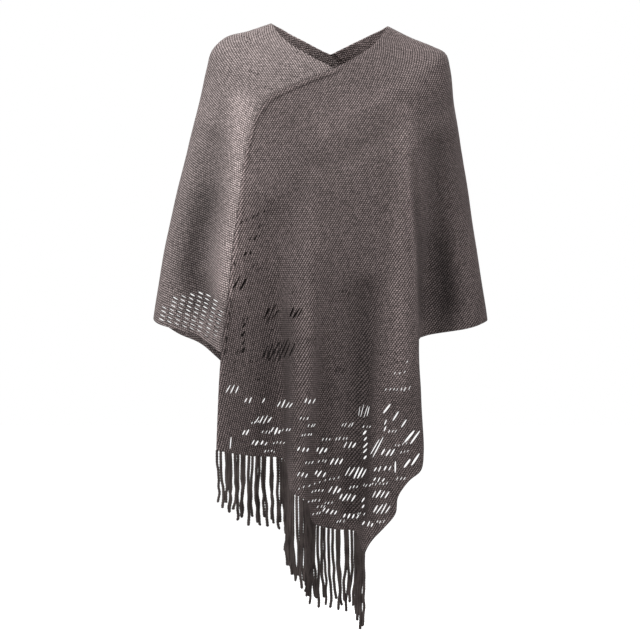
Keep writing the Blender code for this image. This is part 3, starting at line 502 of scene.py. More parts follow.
def surface(angle, down):
    """The cloth's middle layer: the section, moved to the side and out by each fold. Between two folds
    the move follows a cubic of the angle, and it grows with the way down from its start to full."""
    wrapped = (angle + 180) % 360 - 180
    point = section(angle, down)
    at_full = section(FOLD["angle"], FOLD["full"])
    last = len(FOLD["angle"]) - 1
    i = np.clip(np.searchsorted(FOLD["angle"], wrapped, side="right") - 1, 0, last - 1)
    near = [np.maximum(i - 1, 0), i, i + 1, np.minimum(i + 2, last)]
    grown = [smoothstep((down - FOLD["start"][j]) / (FOLD["full"][j] - FOLD["start"][j])) for j in near]
    gap = FOLD["angle"][i + 1] - FOLD["angle"][i]
    share = (wrapped - FOLD["angle"][i]) / gap
    moved = []
    for push in (FOLD["side"] - at_full[:, 0], FOLD["out"]):
        at = [push[j] * grow for j, grow in zip(near, grown)]
        low_slope = (at[2] - at[0]) / (FOLD["angle"][near[2]] - FOLD["angle"][near[0]] + 1e-9) * gap
        high_slope = (at[3] - at[1]) / (FOLD["angle"][near[3]] - FOLD["angle"][near[1]] + 1e-9) * gap
        moved.append(hermite(share, at[1], at[2], low_slope, high_slope))
    turn = np.radians(angle)
    point[..., 0] += moved[0] + moved[1] * np.sin(turn) * SIDEWAYS
    point[..., 1] -= moved[1] * np.cos(turn)
    return point


def outward(angle, down):
    """The way straight out of the surface: the cross product of its steps down and to the right."""
    step = SURFACE_STEP
    to_right = surface(angle + step, down) - surface(angle - step, down)
    downward = surface(angle, down + step) - surface(angle, down)
    normal = np.cross(downward, to_right)
    return normal / np.linalg.norm(normal, axis=-1, keepdims=True)


def chart_of(view_points, behind=False):
    """Angle and way down of points given as (side, height), in front or behind, by Newton's method
    from a first guess by the widest ring and the middle's heights."""
    view_points = np.array(view_points, float)
    side, height = view_points.T
    angle = np.degrees(np.arcsin(side / RING["left"][-1]))
    middle = RING["middle_back" if behind else "middle_front"]
    if behind:
        angle = 180 - angle
    down = np.interp(-height, -middle, RING["down"])
    step = SURFACE_STEP
    furthest_turn, furthest_fall = FIND_REACH
    for _ in range(FIND_ROUNDS):
        here = surface(angle, down)[:, [0, 2]]
        by_angle = (surface(angle + step, down)[:, [0, 2]] - here) / step
        by_down = (surface(angle, down + step)[:, [0, 2]] - here) / step
        miss = view_points - here
        area = by_angle[:, 0] * by_down[:, 1] - by_angle[:, 1] * by_down[:, 0]
        area = np.where(np.abs(area) < FIND_AREA, np.copysign(FIND_AREA, area), area)
        turn = (miss[:, 0] * by_down[:, 1] - miss[:, 1] * by_down[:, 0]) / area
        fall = (miss[:, 1] * by_angle[:, 0] - miss[:, 0] * by_angle[:, 1]) / area
        angle = angle + FIND_SHARE * np.clip(turn, -furthest_turn, furthest_turn)
        down = np.maximum(down + FIND_SHARE * np.clip(fall, -furthest_fall, furthest_fall), 0)
    return np.stack([angle, down], axis=1)


def beside(points, distance):
    """Points seen from one side, moved to the left of their line of travel. On a seam that is the right
    panel's side."""
    points = np.array(points, float)
    travel = np.gradient(points, axis=0)
    travel /= np.linalg.norm(travel, axis=1, keepdims=True)
    left = np.stack([-travel[:, 1], travel[:, 0]], axis=1)
    return points + np.reshape(distance, (-1, 1)) * left


def hem_chart(rows):
    """Chart points of (angle, height) rows below the waist."""
    return [(angle, HEIGHT_AT_NO_DOWN - height) for angle, height in rows]


def neck_edge(angles):
    """Chart points on the neck's edge."""
    return np.stack([angles, 0 * angles], axis=1)


def path(knots, shares):
    """Chart points at the given shares of the length of a smooth curve through the knots."""
    knots = np.array(knots, float)
    reach = np.linalg.norm(np.diff(surface(knots[:, 0], knots[:, 1]), axis=0), axis=1)
    marks = np.concatenate([[0], np.cumsum(reach)])
    fine = np.linspace(0, marks[-1], FINE_STEPS * len(shares))
    curve = np.stack([spline(fine, marks, knots[:, 0]), spline(fine, marks, knots[:, 1])], axis=1)
    curve[:, 1] = np.maximum(curve[:, 1], 0)
    run = np.linalg.norm(np.diff(surface(curve[:, 0], curve[:, 1]), axis=0), axis=1)
    run = np.concatenate([[0], np.cumsum(run)])
    at = np.asarray(shares) * run[-1]
    return np.stack([np.interp(at, run, curve[:, 0]), np.interp(at, run, curve[:, 1])], axis=1)


def from_edge(count, length):
    """Shares of a length that start close together, at a rounded edge, and go on evenly to its end."""
    near = EDGE_STEPS / length
    return np.concatenate([near[:-1], np.linspace(near[-1], 1, count - len(near) + 1)])


def between_edges(count, length):
    """Shares of a length that are close together at both its ends."""
    near = EDGE_STEPS / length
    middle = np.linspace(near[-1], 1 - near[-1], count - 2 * len(near) + 2)
    return np.concatenate([near[:-1], middle, 1 - near[-2::-1]])


def patch(inner, outer, first_row, last_row, across, along):
    """A panel's chart points: straight from its inner to its outer edge, plus what its two end rows
    differ from a straight row, which fades with the square of the way from each end."""
    across, way = across[None, :, None], along[:, None, None]
    straight = inner[:, None] + (outer - inner)[:, None] * across
    from_first = np.clip(1 - way / BEND, 0, 1) ** 2
    from_last = np.clip(1 - (1 - way) / BEND, 0, 1) ** 2
    return straight + (first_row - straight[0]) * from_first + (last_row - straight[-1]) * from_last


def right_panel_chart():
    """Chart points from the fringed end, over the chest and the right shoulder, to the seam behind,
    where the panel runs on under the left one. Also the shares across and along."""
    across = between_edges(CELLS_ACROSS, RIGHT_END)
    along = between_edges(ROWS_FREE + ROWS_SEAM + ROWS_NECK - 2, RIGHT_SIDE)
    seam = path(chart_of(FRONT_SEAM), np.linspace(0, 1, ROWS_SEAM))[::-1]
    free = path(chart_of(FREE_EDGE), 1 - from_edge(ROWS_FREE, FREE_LONG))
    under = np.full(len(BACK_SEAM), -UNDERLAP)
    under[0] = NECK_LAP
    back_seam = path(chart_of(beside(BACK_SEAM, under), behind=True), across)
    neck = [seam[-1], *neck_edge(NECK_ANGLES), back_seam[0]]
    neck = path(neck, 1 - from_edge(ROWS_NECK, NECK_LONG)[::-1])
    inner = np.concatenate([free, seam[1:], neck[1:]])
    hem = chart_of(FRINGED_HEM)
    hem[0] = free[0]
    first_row = path(hem, across)
    outer = [first_row[-1], *chart_of(POINT_HEM[1:]), *hem_chart(RIGHT_HEM), back_seam[-1]]
    return patch(inner, path(outer, along), first_row, back_seam, across, along), across, along


def left_panel_chart():
    """Chart points from the front seam, where the panel runs on under the right one, over the left
    shoulder and across the back to its end in the hem behind. Also the shares across and along."""
    across = between_edges(CELLS_ACROSS, LEFT_END)
    along = between_edges(ROWS_NECK + ROWS_SEAM - 1, LEFT_SIDE)
    under = np.full(len(FRONT_SEAM), UNDERLAP)
    under[0] = -NECK_LAP
    front_seam = path(chart_of(beside(FRONT_SEAM, under)), across)
    back_seam = path(chart_of(BACK_SEAM, behind=True), 1 - from_edge(ROWS_SEAM, BACK_SEAM_LONG)[::-1])
    back_seam = back_seam - (360, 0)
    neck = [front_seam[0], *neck_edge(-NECK_ANGLES), back_seam[0]]
    inner = np.concatenate([path(neck, from_edge(ROWS_NECK, NECK_LONG)), back_seam[1:]])
    outer = path([front_seam[-1], *hem_chart(LEFT_HEM)], along)
    last_row = path([back_seam[-1], *hem_chart(BACK_HEM)[::-1]], across)
    return patch(inner, outer, front_seam, last_row, across, along), across, along


def way_along(points, axis):
    """Distance run over the points along one axis of the grid, from its first row or column."""
    step = np.linalg.norm(np.diff(points, axis=axis), axis=-1)
    start = np.zeros_like(np.take(step, [0], axis=axis))
    return np.cumsum(np.concatenate([start, step], axis=axis), axis=axis)


def flatten(grid):
    """Lays a curved grid out flat with as little stretch as it can, as complex numbers. Each triangle
    is first laid flat by itself. Then, in turn, each is turned as a whole to fit the layout so far, and
    the layout is solved from all of them, each side weighted by its opposite corner's cotangent."""
    rows, cells = grid.shape[:2]
    corners = quads(np.arange(rows * cells).reshape(rows, cells))
    triangles = np.concatenate([corners[:, [0, 1, 2]], corners[:, [0, 2, 3]]])
    a, b, c = grid.reshape(-1, 3)[triangles].transpose(1, 0, 2)
    base = np.linalg.norm(b - a, axis=1)
    foot = ((c - a) * (b - a)).sum(axis=1) / base
    tall = np.sqrt(np.maximum(((c - a) ** 2).sum(axis=1) - foot**2, 1e-6))
    flat = np.stack([0 * base + 0j, base + 0j, foot + 1j * tall], axis=1)
    after, before = np.roll(flat, -1, axis=1), np.roll(flat, -2, axis=1)
    corner = (after - before) * np.conj(flat - before)
    weight = np.maximum(corner.real / np.abs(corner.imag), COT_FLOOR)
    start, end = triangles, np.roll(triangles, -1, axis=1)
    count = rows * cells
    system = np.full((count, count), 1 / count)
    for i, j, sign in ((start, start, 1), (end, end, 1), (start, end, -1), (end, start, -1)):
        np.add.at(system, (i, j), sign * weight)
    solve = np.linalg.inv(system)
    layout = (way_along(grid, 1) + 1j * way_along(grid, 0)).ravel()
    for _ in range(FLAT_ROUNDS):
        turned = (weight * (layout[end] - layout[start]) * np.conj(after - flat)).sum(axis=1, keepdims=True)
        pull = weight * turned / np.abs(turned) * (after - flat)
        load = np.zeros(count, complex)
        np.add.at(load, end, pull)
        np.add.at(load, start, -pull)
        layout = solve @ load
    return layout.reshape(rows, cells)


def cloth_places(grid, across, along, wales):
    """Where each point of a panel lies on its flat cloth, in metres, with the wales along V: the
    layout of a coarser grid, carried to the fine one by cubics and turned to the wales' lean."""
    rows = np.unique(np.searchsorted(along, np.linspace(0, 1, FLAT_ROWS) - 1e-9))
    cells = np.unique(np.searchsorted(across, np.linspace(0, 1, FLAT_CELLS) - 1e-9))
    flat = spline(along, along[rows], flatten(grid[np.ix_(rows, cells)]))
    flat = spline(across, across[cells], flat.T).T
    place, lean = wales
    seen = grid[..., [0, 2]]
    miss = np.linalg.norm(seen - place, axis=-1) + np.where(grid[..., 1] > 0, np.inf, 0)
    i, j = np.unravel_index(np.argmin(miss), miss.shape)
    steps = np.stack([seen[i, j + 1] - seen[i, j - 1], seen[i + 1, j] - seen[i - 1, j]], axis=1)
    share = np.linalg.solve(steps, (np.cos(np.radians(lean)), np.sin(np.radians(lean))))
    wale = share @ (flat[i, j + 1] - flat[i, j - 1], flat[i + 1, j] - flat[i - 1, j])
    flat = flat * 1j * abs(wale) / wale * MM
    return np.stack([flat.real, flat.imag], axis=-1)


def seam_places(from_lap, along_lap, from_under, along_under):
    """How far each point is from the panel's seam line and where along it, in metres. Within a few
    millimetres of the other panel's edge, it is that edge's line, which lies over this panel."""
    outside = from_under - UNDERLAP
    near = outside < UNDER_SEEN
    off = np.where(near, outside, from_lap)
    way = np.where(near, along_under, along_lap)
    return np.stack([off, way], axis=-1) * MM


def lap(from_inner, along_inner, start, end, height):
    """How far a lapped strip stands out: its height near the inner edge, coming down in a smooth step,
    between two places along the edge, less a groove of a bell's shape near the neck's end."""
    near, far = LAP_WIDE
    depth, place, wide = LAP_GROOVE
    strip = height * (1 - smoothstep((from_inner - near) / (far - near)))
    groove = depth * np.exp(-(((from_inner - place) / wide) ** 2))
    early, rise, fall, fade = LAP_FADES
    shown = smoothstep((along_inner - start + early) / rise) * (1 - smoothstep((along_inner - end) / fall))
    drawn = 1 - smoothstep((np.abs(along_inner - end) - LAP_GROOVE_LONG) / fade)
    return strip * shown[:, None] - groove * (shown * drawn)[:, None]


def under_drop(way):
    """How far the strip below another panel lies in, by the way from its end, in a smooth step."""
    drop, level, rise = UNDER_DROP
    return drop * (1 - smoothstep((way - level) / rise))


def creases(point):
    """How far the creases move the front outwards, and the painted light and shade there. Each adds its
    height times a bell of the distance to its line, as seen from the front, and the tone goes to its own
    with the same bell: a painted highlight on a crest, painted shade in a trough."""
    moved, tone = np.zeros(point.shape[:-1]), np.ones(point.shape[:-1])
    seen = point[..., [0, 2]]
    in_front = smoothstep(-point[..., 1] / FRONT_FADE)
    for height, wide, shade, line in CREASES.values():
        line = np.array(line, float)
        nearest = np.full(moved.shape, np.inf)
        for a, b in zip(line[:-1], line[1:]):
            share = np.clip(((seen - a) @ (b - a)) / ((b - a) @ (b - a)), 0, 1)
            nearest = np.minimum(nearest, np.linalg.norm(seen - a - share[..., None] * (b - a), axis=-1))
        bell = np.exp(-((nearest / wide) ** 2)) * in_front
        moved += height * bell
        # The tone is painted light and shade, not a colour of the wool.
        tone *= 1 + (shade - 1) * bell
    return moved, tone


def undulation(angle, down):
    """Slow, small waves of hand-worn cloth: a sum of sines of the angle and the way down."""
    return sum(
        height * np.sin(angle / by_angle + down / by_down + start)
        for height, by_angle, by_down, start in WAVES
    )


def link(obj):
    """Puts a piece in the scene's collection and lets it ride on the one body."""
    bpy.context.scene.collection.objects.link(obj)
    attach(obj, "root")
    return obj


def mesh_object(name, points, faces, maps, material):
    """A smooth mesh from points in millimetres, its faces, and a UV for each point in each map."""
    mesh = bpy.data.meshes.new(name)
    mesh.from_pydata((points * MM).tolist(), [], faces)
    corners = np.empty(len(mesh.loops), np.int32)
    mesh.loops.foreach_get("vertex_index", corners)
    for key, uv in maps.items():
        layer = mesh.uv_layers.new(name=key)
        layer.data.foreach_set("uv", uv[corners].astype(np.float32).ravel())
    mesh.polygons.foreach_set("use_smooth", np.ones(len(mesh.polygons), bool))
    mesh.materials.append(material)
    mesh.update()
    return bpy.data.objects.new(name, mesh)


def panel_mesh(name, chart, lift, facing, maps, material, wall, inside_painted_shading):
    """A panel as a closed sheet: each point of its chart gives one on the outer and one on the inner layer,
    half a wall either way along the normal. The wall thins to nothing in a quarter round at the edges,
    where both layers share their points. The inner layer's tone is the outer one's times a painted light
    and shade that goes from the neck's to the hem's with the height: painted light at the neck, painted
    shade lower down."""
    rows, cells = chart.shape[:2]
    angle, down = chart[..., 0].ravel(), chart[..., 1].ravel()
    normal = outward(angle, down)
    middle = surface(angle, down)
    moved, tone = creases(middle)
    middle = middle + normal * (lift.ravel() + moved + undulation(angle, down))[:, None]
    grid = middle.reshape(rows, cells, 3)
    down_way, across_way = way_along(grid, 0), way_along(grid, 1)
    to_side = np.minimum(across_way, across_way[:, -1:] - across_way)
    to_end = np.minimum(down_way, down_way[-1:] - down_way)
    rounding = np.clip(np.minimum(to_side, to_end) / EDGE_ROUND, 0, 1)
    half = wall / 2 * np.sqrt(1 - (1 - rounding) ** 2)
    off = normal * half.ravel()[:, None]
    inside = np.zeros((rows, cells), bool)
    inside[1:-1, 1:-1] = True
    at = np.arange(rows * cells).reshape(rows, cells)
    under = np.where(inside, rows * cells + np.cumsum(inside).reshape(rows, cells) - 1, at)
    outer = quads(at)[:, ::facing]
    lining = quads(under)[:, ::-facing]
    kept = inside.ravel()
    points = np.concatenate([middle + off, (middle - off)[kept]])
    maps = {key: uv.reshape(-1, 2) for key, uv in maps.items()}
    # The creases' painted light and shade, carried by a UV map.
    maps[PAINTED_SHADING_UV] = np.stack([tone, tone], axis=1)
    inner = {key: uv[kept] for key, uv in maps.items()}
    # Painted light inside the neck and painted shade lower down, by the height.
    top, foot, from_level, to_level = inside_painted_shading
    lower = smoothstep((from_level - middle[kept, 2:]) / (from_level - to_level))
    least, sleeve, body = SLEEVE_PAINTED_SHADE
    lower = lower * (least + (1 - least) * smoothstep((middle[kept, :1] - sleeve) / (body - sleeve)))
    inner[PAINTED_SHADING_UV] = inner[PAINTED_SHADING_UV] * (top + (foot - top) * lower)
    maps = {key: np.concatenate([uv, inner[key]]) for key, uv in maps.items()}
    return mesh_object(name, points, np.concatenate([outer, lining]).tolist(), maps, material)


def quads(at):
    """The quads of a grid of point numbers whose rows go up and whose columns go to the right."""
    return np.stack([at[:-1, :-1], at[:-1, 1:], at[1:, 1:], at[1:, :-1]], axis=-1).reshape(-1, 4)


def cutter(name, slits, behind=False, deep=CUTTER_DEPTH, uneven=1.0):
    """One mesh of prisms, one for each slit: its outline goes round with a cosine along the slit and
    a power of a sine across it, and runs through the wall from front to back."""
    side, height, long, wide, lean = np.array(slits, float).T
    change = uneven * np.random.default_rng(SEED).uniform(-1, 1, (5, len(side)))
    by_place, by_length, by_width, by_lean = SLIT_CHANGE
    side, height = side + by_place * change[0], height + by_place * change[1]
    long = long * (1 + by_length * change[2])
    share, less, least = SLIT_DRAWN
    wide = np.maximum(wide * share - less, least) * (1 + by_width * change[3])
    lean = lean + by_lean * change[4]
    chart = chart_of(np.stack([side, height], axis=1), behind)
    centre = surface(chart[:, 0], chart[:, 1])
    turn = np.linspace(0, 2 * np.pi, SLIT_POINTS, endpoint=False)
    along = np.cos(turn) * long[:, None] / 2
    over = np.sign(np.sin(turn)) * np.abs(np.sin(turn)) ** SLIT_FULLNESS * wide[:, None] / 2
    lean = np.radians(lean)[:, None]
    x = centre[:, :1] + along * np.cos(lean) - over * np.sin(lean)
    z = centre[:, 2:] + along * np.sin(lean) + over * np.cos(lean)
    y = np.broadcast_to(centre[:, 1:2], x.shape)
    ring = np.stack([x, y, z], axis=-1)
    depth = np.array([0, deep / 2, 0])
    points = np.stack([ring - depth, ring + depth], axis=1).reshape(-1, 3)
    first = 2 * SLIT_POINTS * np.arange(len(long))[:, None]
    i = np.arange(SLIT_POINTS)
    j = (i + 1) % SLIT_POINTS
    sides = np.stack([j, i, i + SLIT_POINTS, j + SLIT_POINTS], axis=1)
    walls = (first[:, :, None] + sides[None]).reshape(-1, 4)
    fronts, backs = first + i, first + SLIT_POINTS + i[::-1]
    mesh = bpy.data.meshes.new(name)
    mesh.from_pydata((points * MM).tolist(), [], walls.tolist() + fronts.tolist() + backs.tolist())
    obj = bpy.data.objects.new(name, mesh)
    bpy.context.scene.collection.objects.link(obj)
    return obj


def cut(panel, *tools):
    """Cuts the openwork through a panel, applies the cuts and keeps the slits' rims crisp."""
    for tool in tools:
        boolean = panel.modifiers.new(tool.name, "BOOLEAN")
        boolean.operation = "DIFFERENCE"
        boolean.solver = "MANIFOLD"
        boolean.object = tool
    graph = bpy.context.evaluated_depsgraph_get()
    made = bpy.data.meshes.new_from_object(panel.evaluated_get(graph))
    if len(made.polygons) < len(panel.data.polygons) / 2:
        raise RuntimeError("the openwork's cut emptied " + panel.name)
    panel.modifiers.clear()
    panel.data = made
    made.polygons.foreach_set("use_smooth", np.ones(len(made.polygons), bool))
    made.set_sharp_from_angle(angle=np.radians(CRISP_ANGLE))
    for tool in tools:
        bpy.data.objects.remove(tool)


def spray_slits(sprays):
    """The slits of every spray, as (side, height, long, wide, lean)."""
    slits = []
    for row in sprays.values():
        spray = dict(zip(SPRAY_COLUMNS, row))
        turn = np.radians(spray["lean"])
        step_side = spray["pitch"] * np.sin(turn) + spray["shift"] * np.cos(turn)
        step_height = -spray["pitch"] * np.cos(turn) + spray["shift"] * np.sin(turn)
        middle = (spray["count"] - 1) / 2
        for i in range(spray["count"]):
            long = spray["long"] * (1 - spray["taper"] * abs(i - middle) / max(middle, 1))
            side = spray["side"] + (i - middle) * step_side
            height = spray["height"] + (i - middle) * step_height
            slits.append((side, height, long, spray["wide"], spray["lean"]))
    return slits


def ladder_slits():
    """Slits in line with the right panel's inner edge, one below the other."""
    edge = beside(FRONT_SEAM + FREE_EDGE[1:], LADDER_INSIDE)[::-1]
    first, last = LADDER_RANGE
    slits = []
    for height in np.arange(first, last, -LADDER_STEP):
        side = np.interp(height, edge[:, 1], edge[:, 0])
        run = side - np.interp(height - LADDER_STEP, edge[:, 1], edge[:, 0])
        slits.append((side, height, *LADDER_SLIT, np.degrees(np.arctan2(LADDER_STEP, run))))
    return slits


def lattice_slits():
    """Stacks that stand on a line above the sleeve's hem and lean with the cloth."""
    hem = surface(*np.array(hem_chart(LEFT_HEM[:6])).T)
    order = np.argsort(hem[:, 0])
    long, wide, lean = LATTICE_SLIT
    slits = []
    for stack, count in enumerate(LATTICE_STACKS):
        side = LATTICE_SIDE + stack * LATTICE_STACK_STEP
        foot = np.interp(side, hem[order, 0], hem[order, 2]) + LATTICE_ABOVE_HEM
        for i in range(count):
            step_side, step_up = LATTICE_SLIT_STEP
            slits.append((side + i * step_side, foot + i * step_up, long, wide, lean))
    return slits


def strand_mesh(name, root, along, out, length, radius, material):
    """Twisted yarn, all strands at once. A strand's heart hangs down from its root and moves to the
    side by slow sines. Round the heart the radius is that of a two-ply yarn: one plus a cosine of
    twice the angle less the twist, which turns with the way along the strand."""
    count = len(root)
    rng = np.random.default_rng(SEED)
    share = np.linspace(0, 1, STRAND_RINGS)[None, :]
    way = share * length[:, None]
    strand = np.arange(count)[:, None]
    heart = root[:, None] + (0, 0, STRAND_TOP) - way[..., None] * np.array([0, 0, 1])
    heart = heart + (rng.normal(0, STRAND_SPREAD, (count, 1)) * along)[:, None]
    sways = [np.sin(by_strand * strand + by_way * share) for by_strand, by_way in SWAY_WAVES]
    heart[..., :2] += SWAY * np.stack(sways, axis=-1) * share[..., None]
    for size, waves in CURLS:
        phase = rng.uniform(0, 2 * np.pi, (2, count, 1))
        amount = size * share * rng.uniform(*CURL_CHANGE, (count, 1))
        heart[..., 0] += amount * np.sin(2 * np.pi * waves * share + phase[0])
        heart[..., 1] += CURL_DEPTH * amount * np.sin(2 * np.pi * waves * share + phase[1])
    turn = np.linspace(0, 2 * np.pi, STRAND_SIDES, endpoint=False)
    twist = 2 * np.pi * way / PLY_TURN + rng.uniform(0, 2 * np.pi, (count, 1))
    ply = 1 + PLY_DEPTH * np.cos(2 * (turn - twist[..., None]))
    root_end, foot_end = STRAND_ENDS
    ends = np.sqrt(np.clip(np.minimum(share / root_end, (1 - share) / foot_end), LEAST_END, 1))
    reach = radius * ends[..., None] * ply * rng.uniform(*THICKNESS_CHANGE, (count, 1, 1))
    ring = np.cos(turn)[:, None] * along[:, None, None] + np.sin(turn)[:, None] * out[:, None, None]
    points = (heart[:, :, None] + reach[..., None] * ring).reshape(-1, 3)
    at = np.arange(count * STRAND_RINGS * STRAND_SIDES).reshape(count, STRAND_RINGS, STRAND_SIDES)
    right = np.roll(at, -1, axis=2)
    sides = np.stack([at[:, :-1], at[:, 1:], right[:, 1:], right[:, :-1]], axis=-1).reshape(-1, 4)
    tops, feet = at[:, 0, :], at[:, -1, ::-1]
    uv = np.stack(np.broadcast_arrays(turn / (2 * np.pi) * YARN_ROUND, way[..., None] * MM), axis=-1)
    uv = uv.reshape(-1, 2)
    faces = sides.tolist() + tops.tolist() + feet.tolist()
    return mesh_object(name, points, faces, {CLOTH_UV: uv}, material)


def fringe_roots():
    """The middle of each strand's root on the fringed end, with the ways along the end and out."""
    hem = path(chart_of(FRINGED_HEM), np.linspace(0, 1, 2 * STRANDS + 1))
    line = surface(hem[:, 0], hem[:, 1])
    along = np.gradient(line, axis=0) * (1, 1, 0)
    along /= np.linalg.norm(along, axis=1, keepdims=True)
    out = np.cross(along, (0, 0, 1))
    return (line[:-1:2] + line[1::2]) / 2, along[:-1:2], out[:-1:2]


# Finishes ---------------------------------------------------------------------------------------


class Finish:
    """A node-based material and its nodes, with short calls to add and join them: sums, noise, ranges,
    mixes, a bump, and the places that they read."""

    def __init__(self, name):
        self.material = bpy.data.materials.new(name)
        self.material.use_nodes = True
        self.tree = self.material.node_tree
        self.shader = self.tree.nodes["Principled BSDF"]

    def node(self, kind, **settings):
        made = self.tree.nodes.new(kind)
        for key, value in settings.items():
            setattr(made, key, value)
        return made

    def uv(self, name):
        return self.node("ShaderNodeUVMap", uv_map=name).outputs["UV"]

    def place(self):
        return self.node("ShaderNodeTexCoord").outputs["Object"]

    def join(self, source, target):
        self.tree.links.new(source, target)

    def times(self, a, b):
        return self.math("MULTIPLY", a, b)

    def plus(self, a, b):
        return self.math("ADD", a, b)

    def math(self, operation, a, b=None):
        made = self.node("ShaderNodeMath", operation=operation)
        for socket, value in zip(made.inputs, (a, b)):
            if value is None:
                continue
            if isinstance(value, (int, float)):
                socket.default_value = value
            else:
                self.join(value, socket)
        return made.outputs[0]

    def noise(self, vector, scale, detail=2.0):
        made = self.node("ShaderNodeTexNoise")
        made.inputs["Scale"].default_value = scale
        made.inputs["Detail"].default_value = detail
        self.join(vector, made.inputs["Vector"])
        return made.outputs["Fac"]

    def spread(self, value, low, high, to_low, to_high):
        """A smooth step from one range to another."""
        made = self.node("ShaderNodeMapRange", interpolation_type="SMOOTHSTEP")
        for name, number in zip(("From Min", "From Max", "To Min", "To Max"), (low, high, to_low, to_high)):
            made.inputs[name].default_value = number
        self.join(value, made.inputs["Value"])
        return made.outputs[0]

    def mix(self, factor, a, b, blend="MIX"):
        """A mix of two colours, which are the node's seventh and eighth inputs and its third output."""
        made = self.node("ShaderNodeMix", data_type="RGBA", blend_type=blend)
        for socket, value in zip((made.inputs[0], made.inputs[6], made.inputs[7]), (factor, a, b)):
            if isinstance(value, bpy.types.NodeSocket):
                self.join(value, socket)
            else:
                socket.default_value = value
        return made.outputs[2]

    def bump(self, height, strength, distance):
        made = self.node("ShaderNodeBump")
        made.inputs["Strength"].default_value = strength
        made.inputs["Distance"].default_value = distance
        self.join(height, made.inputs["Height"])
        self.join(made.outputs["Normal"], self.shader.inputs["Normal"])

    def parts(self, vector):
        made = self.node("ShaderNodeSeparateXYZ")
        self.join(vector, made.inputs[0])
        return made.outputs

    def seam_thread_and_painted_shading(self, seam_end):
        """Lines beside the seam's edge, dotted by a sine of the way along it: a painted shadow along the
        lap's edge, a painted highlight on the lapped strip, and a dark thread with painted shade in its
        groove.
        """
        off, way, _ = self.parts(self.uv(SEAM_UV))
        dots = self.math("SINE", self.times(way, 2 * np.pi / SEAM_DOT))
        dots = self.spread(dots, *SEAM_DOT_SHADES)
        to_neck = self.math("ABSOLUTE", self.math("SUBTRACT", way, seam_end))
        tone = None
        for place, wide, deep, near, far in SEAM_LINES:
            beside = self.math("ABSOLUTE", self.math("SUBTRACT", off, place))
            line = self.times(self.spread(beside, wide * SEAM_CORE, wide, deep, 0.0), dots)
            line = self.times(line, self.spread(to_neck, near, far, 1.0, 0.0))
            shade = self.math("SUBTRACT", 1.0, line)
            tone = shade if tone is None else self.times(tone, shade)
        return tone

    def wool(self, sheen_colour):
        """The shader's own numbers for matt, hairy yarn."""
        for name, value in {
            "Roughness": 0.92, "Metallic": 0.0, "Specular IOR Level": 0.25, "Sheen Weight": 0.25,
            "Sheen Roughness": 0.5, "Sheen Tint": sheen_colour,
        }.items():
            self.shader.inputs[name].default_value = value


def knit_finish(name, dark, light, pitch, foot_tone, seam_end):
    """Knitted cloth. Across the flat cloth, a sine makes the wales, and a sine along it, whose sign turns
    from each wale to the next, sets their stitches side by side at half a step, plus fine fibres. The
    colour goes from the gaps' to the stitches' with that height, the gaps' dark being painted shade between
    the stitches, times the painted light and shade of the creases and of the inside, soft mottling, a slow
    change with height on the garment and the lines at the seam, which are a painted shadow, a painted
    highlight and a dark thread."""
    finish = Finish(name)
    place = finish.place()
    u, v, _ = finish.parts(finish.uv(CLOTH_UV))
    turn = 2 * np.pi / pitch
    # The yarn wanders a little, as hand-fed yarn does.
    scale, size = WANDER
    wander = finish.times(finish.noise(place, scale, detail=1.0), size)
    across = finish.plus(finish.times(u, turn), wander)
    along = finish.plus(finish.times(v, turn), wander)
    wales = finish.math("SINE", across)
    sign = finish.math("SINE", finish.plus(finish.times(across, 0.5), np.pi / 4))
    loops = finish.times(sign, finish.math("SINE", along))
    scale, size = FIBRES
    fibre = finish.math("SUBTRACT", finish.noise(place, scale, detail=3.0), 0.5)
    stitch = finish.plus(finish.times(wales, WALES_SHARE), finish.times(loops, 1 - WALES_SHARE))
    height = finish.plus(stitch, finish.times(fibre, size))
    # The gaps' dark colour is painted shade between the stitches.
    colour = finish.mix(finish.spread(height, *STITCH_COLOUR, 0.0, 1.0), dark, light)
    scale, *tones = MOTTLE
    mottle = finish.spread(finish.noise(place, scale, detail=3.0), *tones)
    scale, *tones = WEAR
    worn = finish.spread(finish.noise(place, scale), *tones)
    _, _, level = finish.parts(place)
    # Painted light and shade of the creases and of the inside.
    painted_shading, _, _ = finish.parts(finish.uv(PAINTED_SHADING_UV))
    tone = finish.times(finish.times(mottle, worn), painted_shading)
    tone = finish.times(tone, finish.spread(level, *FOOT_LEVELS, foot_tone, 1.0))
    tone = finish.times(tone, finish.seam_thread_and_painted_shading(seam_end))
    grey = finish.node("ShaderNodeCombineColor")
    for socket in grey.inputs:
        finish.join(tone, socket)
    finish.join(finish.mix(1.0, colour, grey.outputs[0], "MULTIPLY"), finish.shader.inputs["Base Color"])
    finish.bump(height, *KNIT_RELIEF)
    finish.wool(light)
    return finish.material


def yarn_finish(name, dark, light):
    """Twisted yarn: fibres as noise drawn out along the ply, dark between the plies."""
    finish = Finish(name)
    flat = finish.uv(CLOTH_UV)
    place = finish.place()
    turned = finish.node("ShaderNodeMapping")
    turned.inputs["Rotation"].default_value = (0, 0, YARN_LEAN)
    turned.inputs["Scale"].default_value = (1.0, YARN_STRETCH, 1.0)
    finish.join(flat, turned.inputs["Vector"])
    fibre = finish.noise(turned.outputs[0], YARN_FIBRES, detail=3.0)
    scale, size = YARN_SHADE
    slow = finish.noise(place, scale)
    shade = finish.spread(finish.plus(fibre, finish.times(slow, size)), *YARN_COLOUR, 0.0, 1.0)
    finish.join(finish.mix(shade, dark, light), finish.shader.inputs["Base Color"])
    finish.bump(fibre, *YARN_RELIEF)
    finish.wool(light)
    return finish.material


# Settings ---------------------------------------------------------------------------------------


